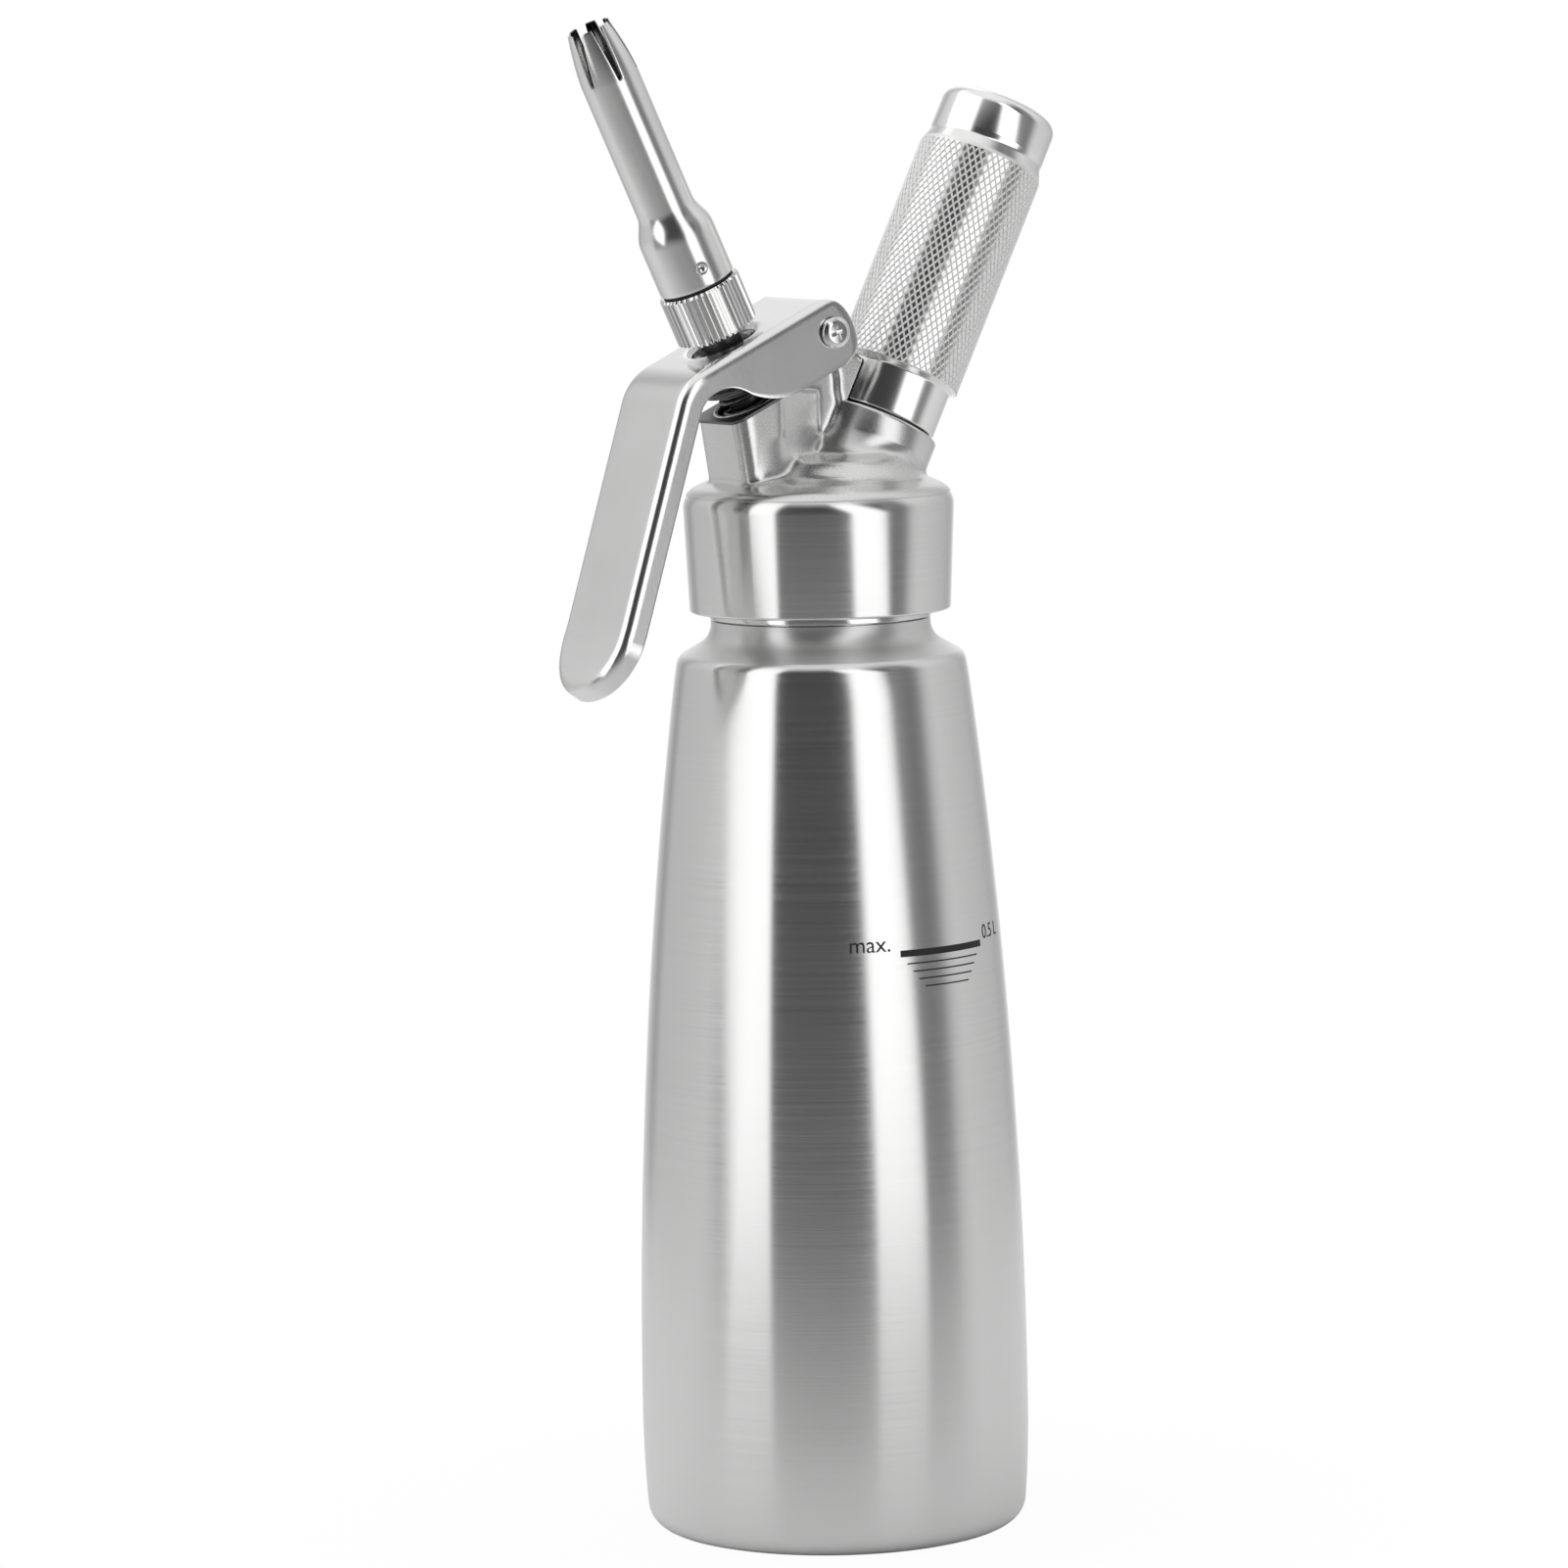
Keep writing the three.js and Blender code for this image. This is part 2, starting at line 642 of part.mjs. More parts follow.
// The web joins the turret to the lug, and the lug rises to the pivot beside the charger holder.
function lugAndWeb() {
  const eyeTop = pivotHeight + lugEyeRadius;
  const rimPoint = new THREE.Vector3(turretRadius / 2, 0, turretTop - turretChamferRun)
    .applyMatrix4(valveFrame.matrix);
  const web = new THREE.Shape();
  web.moveTo(turretFootX, ceilingHeight + bury);
  web.lineTo(turretFootX, turretFootHeight);
  web.lineTo(rimPoint.x, rimPoint.z);
  web.quadraticCurveTo(pivotX - lugEyeRadius, rimPoint.z, pivotX - lugEyeRadius, pivotHeight);
  web.lineTo(pivotX, pivotHeight);
  web.lineTo(lugWaistX, lugWaistHeight);
  web.lineTo(lugRightX, lugFootTop);
  web.lineTo(lugRightX, ceilingHeight + bury);
  const lug = new THREE.Shape();
  lug.moveTo(lugWaistX + lugToe, lugFootTop - lugToe);
  lug.lineTo(lugRightX, lugFootTop);
  lug.lineTo(lugRightX, lugWaistHeight);
  lug.lineTo(pivotX + lugEyeRadius, pivotHeight);
  lug.absarc(pivotX, pivotHeight, lugEyeRadius, 0, radians(lugEyeSweep), false);
  lug.quadraticCurveTo(lugWaistX, (pivotHeight + lugWaistHeight) / 2, lugWaistX, lugWaistHeight);
  lug.quadraticCurveTo(lugWaistX, lugFootTop, lugWaistX + lugToe, lugFootTop - lugToe / 2);
  const foot = new THREE.Shape();
  foot.moveTo(lugFootX, ceilingHeight);
  foot.lineTo(lugFootX, lugFootTop - lugToe / 2);
  foot.lineTo(lugFootX + lugToe / 2, lugFootTop);
  foot.lineTo(lugRightX, lugFootTop);
  foot.lineTo(lugRightX, ceilingHeight);
  const knurlStart = holderBottom + collarLength - knurlStep;
  const holderRoom = turned([
    [0, bossTop], [collarRadius + slip, bossTop], [collarRadius + slip, knurlStart],
    [knurlRadius + slip, knurlStart], [knurlRadius + slip, eyeTop], [0, eyeTop],
  ], mediumSides, gasFrame.matrix);
  return joined(plate(web, webHalf), plate(lug, lugHalf), plate(foot, lugFootHalf)).subtract(holderRoom);
}

function headCasting() {
  const bossEnd = ceilingHeight - axesHeight + overrun;
  const seatBoss = rod(seatBossRadius, seatPlace, bossEnd, smallSides, valveFrame.matrix);
  const shell = cut(crown(), headCavity());
  const thread = ridge({
    foot: headRoot,
    crest: headCrest,
    flank: neckFlank,
    top: neckCrest,
    pitch: neckPitch,
    start: neckThreadStart - neckPitch / 2,
    turns: headThreadTurns,
    sides: largeSides / 2,
  });
  const valveRoom = turned([
    [0, seatPlace - overrun], [valveBore, seatPlace - overrun], [valveBore, springFloor],
    [springPocket, springFloor], [springPocket, turretTop + overrun], [0, turretTop + overrun],
  ], smallSides, valveFrame.matrix);
  const shoulderStart = chargerSeat + chargerNeckLength;
  const shoulderRun = (chargerRadius - chargerNeckRadius) / chargerShoulder;
  const boreEnd = spigotTop + overrun;
  const plugBore = plugRadius + slip;
  const gasRoom = turned([
    [0, seatPlace - overrun], [gasPassage, seatPlace - overrun], [gasPassage, checkFloor],
    [checkChamber, checkFloor], [checkChamber, plugBottom - seatGap],
    [plugBore, plugBottom - seatGap], [plugBore, shoulderStart],
    [plugBore + shoulderRun * (boreEnd - shoulderStart), boreEnd], [0, boreEnd],
  ], smallSides, gasFrame.matrix);
  const pivotTurn = new THREE.Matrix4().makeRotationX(Math.PI / 2).setPosition(pivotX, 0, pivotHeight);
  const pivotHole = rod(bushRadius + slip, -lugFootHalf, lugFootHalf, smallSides, pivotTurn);
  const raised = joined(turretColumn(), chargerBoss(), lugAndWeb()).subtract(rod(
    skirtFootRadius, skirtBottom, ceilingHeight, mediumSides,
  ));
  return cut(joined(shell, raised, seatBoss, thread), valveRoom, gasRoom, pivotHole);
}

function headGasket() {
  const bottom = neckLip + seatGap;
  return tube(gasketInner, gasketOuter, bottom, bottom + gasketThickness, mediumSides);
}

// Gas side, along the holder's axis

function pinHolder() {
  const plugTop = plugBottom + plugThickness;
  return turned([
    [pinRadius + slip, plugBottom], [plugRadius, plugBottom], [plugRadius, plugTop],
    [pinFlange + slip, plugTop], [pinFlange + slip, plugTop - pinFlangeThickness - seatGap],
    [pinRadius + slip, plugTop - pinFlangeThickness - seatGap],
  ], smallSides);
}

function piercePin() {
  const plugTop = plugBottom + plugThickness;
  const tip = chargerSeat + pinReach;
  return turned([
    [pinBore, plugBottom], [pinRadius, plugBottom], [pinRadius, plugTop - pinFlangeThickness],
    [pinFlange, plugTop - pinFlangeThickness], [pinFlange, plugTop], [pinRadius, plugTop],
    [pinRadius, tip - pinPoint], [pinBore + slip / 2, tip], [pinBore, tip],
  ], smallSides);
}

function checkValve() {
  const bottom = checkFloor + seatGap;
  return turned([
    [0, bottom + checkThickness / 2], [checkRadius / 2, bottom], [checkRadius, bottom + checkThickness / 3],
    [checkRadius, bottom + checkThickness * checkRimShare], [0, bottom + checkThickness * checkRimShare],
  ], smallSides);
}

function chargerSeal() {
  const bottom = plugBottom + plugThickness + seatGap;
  return tube(sealInner, plugRadius, bottom, bottom + sealThickness, smallSides);
}

function gasCharger() {
  const end = chargerSeat + chargerLength;
  const shell = (inset) => [
    [chargerNeckRadius - inset, chargerSeat + inset],
    [chargerNeckRadius - inset, chargerSeat + chargerNeckLength],
    [chargerRadius - inset, chargerSeat + chargerNeckLength + chargerShoulder],
    ...arc(chargerRadius - chargerRound, end - chargerRound, chargerRound - inset, 0, 90, 3),
  ];
  return turned([
    [chargerTipHole, chargerSeat], ...shell(0), [0, end], [0, end - chargerWall],
    ...shell(chargerWall).reverse(), [chargerTipHole, chargerSeat + chargerWall],
  ], mediumSides);
}

function chargerHolder() {
  const knurlStart = holderBottom + collarLength;
  const knurlEnd = holderTop - capLength;
  const floor = holderTop - holderEnd;
  const threadEnd = spigotTop + holderThreadRelief;
  const wall = turned([
    [holderThreadRoot, holderBottom], [collarRadius, holderBottom], [collarRadius, knurlStart - knurlStep],
    [knurlRadius, knurlStart], [knurlRadius, knurlEnd - capCone], [capRadius, knurlEnd],
    ...arc(capRadius - capRound, holderTop - capRound, capRound, 0, 90, 3), [0, holderTop], [0, floor],
    ...arc(holderBore - chargerRound, floor - chargerRound, chargerRound, 90, 0, 3),
    [holderBore, threadEnd], [holderThreadRoot, threadEnd - (holderThreadRoot - holderBore)],
  ], mediumSides);
  return wall.add(ridge({
    foot: holderThreadRoot,
    crest: spigotRoot + threadRoom,
    flank: spigotFlank,
    top: spigotCrestWidth,
    pitch: spigotPitch,
    start: spigotThreadStart - spigotPitch / 2,
    turns: holderThreadTurns,
    sides: mediumSides / 2,
  }));
}

// Lever, in the nozzle's frame

// Direction along the paddle, and square to it towards the bottle.
const paddleWay = new THREE.Vector2(-Math.cos(radians(paddleTurn)), -Math.sin(radians(paddleTurn)));
const paddleInward = new THREE.Vector2(-paddleWay.y, paddleWay.x);
const bendCorner = new THREE.Vector2(bendT, plateTop);
const bendTangent = bendRadius * Math.tan(radians(paddleTurn) / 2);

function alongPaddle(distance, inward) {
  return bendCorner.clone().addScaledVector(paddleWay, distance).addScaledVector(paddleInward, inward);
}

// The outside line of the sheet from the plate's rear edge to the paddle's tip, set in by a depth.
function sheetLine(depth, rear) {
  const points = [new THREE.Vector2(rear, plateTop - depth)];
  const bendSteps = 6;
  const flareSteps = 3;
  const centre = new THREE.Vector2(bendT + bendTangent, plateTop - bendRadius);
  for (let i = 0; i <= bendSteps; i += 1) {
    const angle = Math.PI / 2 + (radians(paddleTurn) * i) / bendSteps;
    const reach = bendRadius - depth;
    points.push(new THREE.Vector2(centre.x + reach * Math.cos(angle), centre.y + reach * Math.sin(angle)));
  }
  const flareCentre = alongPaddle(paddleStraight, -flareRadius);
  for (let i = 0; i <= flareSteps; i += 1) {
    const turn = (radians(flareTurn) * i) / flareSteps;
    const reach = flareRadius + depth;
    points.push(flareCentre.clone()
      .addScaledVector(paddleInward, reach * Math.cos(turn))
      .addScaledVector(paddleWay, reach * Math.sin(turn)));
  }
  return points;
}

function leverSide() {
  const shape = new THREE.Shape();
  const outside = sheetLine(0, plateRear);
  const inside = sheetLine(flangeDepth, plateRear).reverse();
  const cheekBottom = plateTop - cheekDepth;
  const rearMiddle = (plateTop + cheekBottom) / 2;
  shape.moveTo(plateRear, plateTop);
  outside.slice(1).forEach((p) => shape.lineTo(p.x, p.y));
  const flareEnd = 4;
  inside.slice(0, flareEnd).forEach((p) => shape.lineTo(p.x, p.y));
  const start = alongPaddle(2 * bendTangent, flangeDepth);
  shape.lineTo(start.x, start.y);
  const archTop = plateTop - archDepth;
  shape.quadraticCurveTo(archT - sheet, archTop, archT + sheet / 2, archTop);
  shape.quadraticCurveTo((archT + archMiddle) / 2, archTop, archMiddle, (archTop + cheekBottom) / 2);
  shape.quadraticCurveTo(
    (archMiddle + cheekFront + sheet) / 2, cheekBottom, cheekFront + sheet, cheekBottom,
  );
  shape.lineTo(cheekRear - cheekCorner, cheekBottom);
  shape.quadraticCurveTo(cheekRear, cheekBottom, cheekRear, rearMiddle);
  shape.quadraticCurveTo(cheekRear, plateTop - cheekCorner / 3, plateRear, plateTop);
  return shape;
}

function leverInside() {
  const shape = new THREE.Shape();
  const far = cheekRear + overrun;
  const low = plateTop - cheekDepth - overrun;
  const inside = sheetLine(sheet, far);
  inside.forEach((p, i) => (i ? shape.lineTo(p.x, p.y) : shape.moveTo(p.x, p.y)));
  const end = alongPaddle(paddleStraight + flareRadius, flangeDepth + flareRadius / 2);
  shape.lineTo(end.x, end.y);
  shape.lineTo(far, low);
  return shape;
}

// A round-ended tongue square to the paddle, which rounds the tip in plan.
function tongue(halfWidth) {
  const reach = paddleStraight + flareRadius * Math.sin(radians(flareTurn)) - leverWidth / 2;
  const shape = new THREE.Shape();
  shape.moveTo(-reach, -halfWidth);
  shape.lineTo(reach, -halfWidth);
  shape.absarc(reach, 0, halfWidth, -Math.PI / 2, Math.PI / 2, false);
  shape.lineTo(-reach, halfWidth);
  const geometry = new THREE.ExtrudeGeometry(shape, {
    depth: 2 * reach,
    bevelEnabled: false,
    curveSegments: 10,
  });
  geometry.translate(0, 0, -reach);
  const turn = new THREE.Matrix4().makeBasis(
    new THREE.Vector3(paddleWay.x, 0, paddleWay.y),
    new THREE.Vector3(0, 1, 0),
    new THREE.Vector3(-paddleWay.y, 0, paddleWay.x),
  );
  return solid(geometry, turn.setPosition(bendCorner.x, 0, bendCorner.y));
}

function lever() {
  const half = leverWidth / 2;
  const dishBottom = plateTop - dishDepth - sheet;
  const block = plate(leverSide(), half).intersect(tongue(half));
  const hollow = plate(leverInside(), half - sheet).intersect(tongue(half - sheet));
  const dishBoss = turned([
    [0, dishBottom], [stemHole + sheet / 2, dishBottom], [dishRadius + sheet / 2, plateTop - sheet],
    [dishRadius + sheet / 2, plateTop - sheet / 2], [0, plateTop - sheet / 2],
  ], mediumSides);
  const dish = turned([
    [0, plateTop - dishDepth], [stemHole + sheet / 4, plateTop - dishDepth], [dishRadius, plateTop],
    [dishRadius, plateTop + overrun], [0, plateTop + overrun],
  ], mediumSides);
  const hole = rod(stemHole, dishBottom - overrun, plateTop + overrun, mediumSides);
  const pivotTurn = new THREE.Matrix4().makeRotationX(Math.PI / 2).setPosition(pivotT, 0, pivotS);
  const pivotHole = rod(screwRadius + slip, -leverWidth, leverWidth, smallSides, pivotTurn);
  return cut(joined(block.subtract(hollow), dishBoss), dish, hole, pivotHole);
}

// Pivot pieces lie along Y at the lug's eye.
const alongY = new THREE.Matrix4().makeRotationX(Math.PI / 2).setPosition(pivotX, 0, pivotHeight);

function pivotBush() {
  return tube(screwRadius + slip, bushRadius, -bushHalf, bushHalf, smallSides, alongY);
}

function pivotScrew() {
  const face = leverWidth / 2 + seatGap;
  const top = face + screwHeadHeight;
  const end = -(face + nutHeight / 2);
  const screw = turned([
    [0, end], [screwRadius, end], [screwRadius, face], [screwHead, face],
    [screwHead, face + screwHeadHeight / 3],
    [screwHead * screwCrownShare, top - screwHeadHeight / 8], [0, top],
  ], smallSides, alongY);
  const bar = (w, d) => solid(
    new THREE.BoxGeometry(w, d, 2 * recessDepth),
    alongY.clone().multiply(new THREE.Matrix4().makeTranslation(0, 0, top)),
  );
  return cut(screw, bar(recessSpan, recessWidth), bar(recessWidth, recessSpan));
}

function pivotNut() {
  const face = -(leverWidth / 2 + seatGap);
  const wall = nutHeight / 4;
  return cut(
    rod(nutRadius, face - nutHeight, face, 6, alongY),
    rod(screwRadius + slip, face - nutHeight + wall, face + overrun, smallSides, alongY),
  );
}

// Valve, along the nozzle's axis

function valveStem() {
  const sealTop = seatPlace - seatGap;
  const flangeTop = flangePlace + flangeThickness;
  const sleeveTop = flangeTop + sleeveLength;
  const stem = turned([
    [0, seatPlace - stemTailLength], [stemTail, seatPlace - stemTailLength],
    [stemTail, sealTop - valveSealThickness], [stemWaist, sealTop], [stemWaist, stemLandStart],
    [valveBore - slip, stemLandStart + slip], [valveBore - slip, grooveStart], [grooveRadius, grooveStart],
    [grooveRadius, grooveStart + grooveWidth], [valveBore - slip, grooveStart + grooveWidth],
    [valveBore - slip, stemLandEnd], [stemShank, stemLandEnd + slip],
    [stemShank, flangePlace], [flangeRadius, flangePlace], [flangeRadius, flangeTop],
    [sleeveRadius, flangeTop], [sleeveRadius, sleeveTop],
    [stemNeck, sleeveTop], [stemNeck, stemTop], [0, stemTop],
  ], smallSides);
  const bore = rod(stemBore, portPlace - portRadius, stemTop + overrun, smallSides);
  const across = new THREE.Matrix4().makeRotationX(Math.PI / 2).setPosition(0, 0, portPlace);
  return cut(stem, bore, rod(portRadius, -valveBore, valveBore, smallSides / 2, across));
}

function valveSeal() {
  const top = seatPlace - seatGap;
  return tube(stemWaist + slip, valveSealOuter, top - valveSealThickness, top, smallSides);
}

function valveNut() {
  const top = seatPlace - 2 * seatGap - valveSealThickness;
  const edge = valveNutThickness / 4;
  return turned([
    [stemTail + slip, top - valveNutThickness], [valveNutRadius - edge, top - valveNutThickness],
    [valveNutRadius, top - valveNutThickness + edge], [valveNutRadius, top], [stemTail + slip, top],
  ], smallSides);
}

function stemRing() {
  const ring = new THREE.TorusGeometry(grooveRadius + slip / 2 + ringWire, ringWire, 6, smallSides);
  return solid(ring, new THREE.Matrix4().setPosition(0, 0, grooveStart + grooveWidth / 2));
}

// The spring is one tube of five-sided rings, and its least gap to itself is measured on the points.
function valveSpring() {
  const stepsPerTurn = 8;
  const sides = 5;
  const wire = springWire / 2;
  const bottom = springFloor + seatGap + wire;
  const rise = flangePlace - seatGap - wire - bottom;
  const steps = springTurns * stepsPerTurn;
  const middles = [];
  const rings = [];
  for (let i = 0; i <= steps; i += 1) {
    const angle = (2 * Math.PI * i) / stepsPerTurn;
    const height = bottom + (rise * i) / steps;
    const out = new THREE.Vector3(Math.cos(angle), Math.sin(angle), 0);
    const middle = out.clone().multiplyScalar(springRadius).setZ(height);
    middles.push(middle);
    rings.push(Array.from({ length: sides }, (_, j) => {
      const turn = (2 * Math.PI * j) / sides;
      return middle.clone()
        .addScaledVector(out, wire * Math.cos(turn))
        .add(new THREE.Vector3(0, 0, wire * Math.sin(turn)));
    }));
  }
  let least = Infinity;
  middles.forEach((p, i) => middles.slice(i + stepsPerTurn / 2).forEach((q) => {
    least = Math.min(least, p.distanceTo(q) - springWire);
  }));
  console.log(`valve_spring: ${springTurns} curls, least gap to itself ${least.toFixed(2)} mm`);
  return solid(skin(rings));
}

function tipAdapter() {
  const shape = new THREE.Shape();
  const points = 2 * adapterRibs;
  for (let i = 0; i < points; i += 1) {
    const radius = i % 2 ? adapterRadius : adapterRadius - ribDepth;
    const angle = (2 * Math.PI * i) / points;
    const [x, y] = [radius * Math.cos(angle), radius * Math.sin(angle)];
    if (i) shape.lineTo(x, y);
    else shape.moveTo(x, y);
  }
  const depth = adapterTop - adapterBottom;
  const ribbed = new THREE.ExtrudeGeometry(shape, { depth, bevelEnabled: false });
  const knurl = solid(ribbed, new THREE.Matrix4().setPosition(0, 0, adapterBottom));
  const envelope = turned([
    [0, adapterBottom], [adapterRadius - adapterEdge, adapterBottom],
    [adapterRadius + slip, adapterBottom + adapterEdge + slip],
    [adapterRadius + slip, adapterTop - adapterEdge - slip], [adapterRadius - adapterEdge, adapterTop],
    [0, adapterTop],
  ], mediumSides);
  const spigot = rod(tipRoot, adapterTop - bury, adapterSpigotTop, mediumSides);
  const thread = ridge({
    foot: tipRoot,
    crest: tipCrest,
    flank: tipFlank,
    top: tipCrestWidth,
    pitch: tipPitch,
    start: tipThreadStart,
    turns: tipThreadTurns,
    sides: mediumSides / 2,
  });
  const socketTop = stemTop + seatGap;
  const room = turned([
    [0, adapterBottom - overrun], [stemNeck + slip, adapterBottom - overrun], [stemNeck + slip, socketTop],
    [adapterBore, socketTop], [adapterBore, adapterSpigotTop + overrun], [0, adapterSpigotTop + overrun],
  ], smallSides);
  return joined(knurl.intersect(envelope), spigot, thread).subtract(room);
}

function tipSeal() {
  return tube(tipCrest + slip, tipSealRadius, tipSealBottom, tipSealBottom + tipSealThickness, mediumSides);
}

function nozzleTip() {
  const taperMiddle = (taperStart + mouthPlace) / 2;
  const taperMiddleRadius = (2 * shaftRadius + mouthRadius) / 3;
  const wall = turned([
    [socketRoot, bellBottom], [bellRadius, bellBottom], [bellRadius, bellTop],
    ...bellCurveShares.map(([fall, rise]) => [
      bellRadius - (bellRadius - shaftRadius) * fall, bellTop + bellSlope * rise,
    ]),
    [shaftRadius, bellTop + bellSlope], [shaftRadius, taperStart],
    [taperMiddleRadius, taperMiddle], [mouthRadius, mouthPlace], [mouthBore, mouthPlace],
    [tipBore, taperStart - slip], [tipBore, bellSocket + socketRoot - tipBore], [socketRoot, bellSocket],
  ], mediumSides);
  const thread = ridge({
    foot: socketRoot,
    crest: tipRoot + threadRoom,
    flank: tipFlank,
    top: tipCrestWidth,
    pitch: tipPitch,
    start: tipThreadStart - tipPitch / 2,
    turns: tipThreadTurns,
    sides: mediumSides / 2,
  });
  const vee = new THREE.Shape();
  vee.moveTo(-slotFloorHalf, slotBottom + slotFloorHalf);
  vee.lineTo(0, slotBottom);
  vee.lineTo(slotFloorHalf, slotBottom + slotFloorHalf);
  vee.lineTo(slotHalf, mouthPlace);
  vee.lineTo(slotHalf, mouthPlace + overrun);
  vee.lineTo(-slotHalf, mouthPlace + overrun);
  vee.lineTo(-slotHalf, mouthPlace);
  const slots = Array.from({ length: slotPairs }, (_, i) => {
    const turn = radians(slotTurn) + (Math.PI * i) / slotPairs;
    return plate(vee, shaftRadius + overrun, new THREE.Matrix4().makeRotationZ(turn));
  });
  const dimplePoint = new THREE.Vector3(0, -bellRadius - dimpleRadius / 2, dimplePlace)
    .applyMatrix4(new THREE.Matrix4().makeRotationZ(radians(dimpleAngle)));
  const dimple = solid(
    new THREE.SphereGeometry(dimpleRadius, 8, 6), new THREE.Matrix4().setPosition(dimplePoint),
  );
  return cut(wall.add(thread), ...slots, dimple);
}

// Assembly

add('bottle_body', bottleBody(), brushedSteel);
add('neck_ring', neckRing(), polishedSteel);
add('head_gasket', headGasket(), redSilicone);
add('head_casting', headCasting(), castSteel);
add('lever', lever(), polishedSteel, valveFrame);
add('pivot_bush', pivotBush(), brass);
add('pivot_screw', pivotScrew(), polishedSteel);
add('pivot_nut', pivotNut(), polishedSteel);
add('valve_stem', valveStem(), darkSteel, valveFrame);
add('valve_seal', valveSeal(), greySilicone, valveFrame);
add('valve_nut', valveNut(), polishedSteel, valveFrame);
add('stem_ring', stemRing(), blackRubber, valveFrame);
add('valve_spring', valveSpring(), springSteel, valveFrame);
add('tip_adapter', tipAdapter(), polishedSteel, valveFrame);
add('tip_seal', tipSeal(), blackRubber, valveFrame);
add('nozzle_tip', nozzleTip(), polishedSteel, valveFrame);
add('check_valve', checkValve(), greySilicone, gasFrame);
add('pin_holder', pinHolder(), brass, gasFrame);
add('pierce_pin', piercePin(), polishedSteel, gasFrame);
add('charger_seal', chargerSeal(), blackRubber, gasFrame);
add('gas_charger', gasCharger(), castSteel, gasFrame);
add('charger_holder', chargerHolder(), brushedSteel, gasFrame);

export default model;
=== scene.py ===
from math import atan2, cos, hypot, pi, radians, sin, sqrt, tan

import bmesh
import bpy
from mathutils import Matrix, Vector


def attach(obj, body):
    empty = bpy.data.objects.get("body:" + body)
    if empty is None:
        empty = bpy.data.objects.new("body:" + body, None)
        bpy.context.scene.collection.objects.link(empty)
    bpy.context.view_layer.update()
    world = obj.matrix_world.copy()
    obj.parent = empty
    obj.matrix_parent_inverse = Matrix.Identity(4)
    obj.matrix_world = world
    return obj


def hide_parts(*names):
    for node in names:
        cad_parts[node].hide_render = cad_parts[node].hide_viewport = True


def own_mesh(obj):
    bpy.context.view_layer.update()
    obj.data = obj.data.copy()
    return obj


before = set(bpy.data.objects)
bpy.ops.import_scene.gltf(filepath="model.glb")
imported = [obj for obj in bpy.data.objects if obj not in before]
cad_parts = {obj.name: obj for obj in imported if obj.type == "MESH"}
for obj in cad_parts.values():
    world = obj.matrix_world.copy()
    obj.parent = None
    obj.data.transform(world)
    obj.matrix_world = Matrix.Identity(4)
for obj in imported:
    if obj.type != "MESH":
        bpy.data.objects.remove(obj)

scene = bpy.context.scene
scene.view_settings.view_transform = "Standard"
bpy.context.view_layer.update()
millimetre = 0.001  # pieces are built in millimetres, as the drawing gives them

# Camera

camera = {
    "turn": -31.478,  # degrees round the bottle, from straight in front
    "distance": 1365.075,
    "height": 301.455,
    "aim": 0.33,  # degrees past the bottle's axis
    "dip": 6.403,
    "roll": -1.127,
    "lens": 159.22,
    "sensor": 36,
    "near": 0.05,  # metres, and far too
    "far": 20,
}


def addCamera():
    heading = radians(camera["turn"] + camera["aim"])
    dip, roll, turn = radians(camera["dip"]), radians(camera["roll"]), radians(camera["turn"])
    ahead = Vector((-sin(heading) * cos(dip), cos(heading) * cos(dip), -sin(dip)))
    level = Vector((cos(heading), sin(heading), 0))
    upright = level.cross(ahead)
    right = level * cos(roll) + upright * sin(roll)
    up = upright * cos(roll) - level * sin(roll)
    data = bpy.data.cameras.new("camera")
    data.lens, data.sensor_width, data.sensor_fit = camera["lens"], camera["sensor"], "HORIZONTAL"
    data.clip_start, data.clip_end = camera["near"], camera["far"]
    item = bpy.data.objects.new("camera", data)
    place = Vector((sin(turn), -cos(turn), 0)) * camera["distance"]
    place.z = camera["height"]
    axes = Matrix((right, up, -ahead)).transposed().to_4x4()
    item.matrix_world = Matrix.Translation(place * millimetre) @ axes
    scene.collection.objects.link(item)
    scene.camera = item


addCamera()
print("camera set")

# Node wiring
grainDepth = 0.0001  # metres, how deep the bump of a finish goes


class Wire:
    # A node's output that can be used in sums.
    def __init__(self, sheet, socket):
        self.sheet, self.socket = sheet, socket

    def math(self, operation, *others):
        return self.sheet.sum(operation, self, *others)

    def __add__(self, other):
        return self.math("ADD", other)

    def __sub__(self, other):
        return self.math("SUBTRACT", other)

    def __mul__(self, other):
        return self.math("MULTIPLY", other)

    def __truediv__(self, other):
        return self.math("DIVIDE", other)

    def __rsub__(self, other):
        return self.sheet.sum("SUBTRACT", other, self)

    def __rtruediv__(self, other):
        return self.sheet.sum("DIVIDE", other, self)

    __radd__, __rmul__ = __add__, __mul__


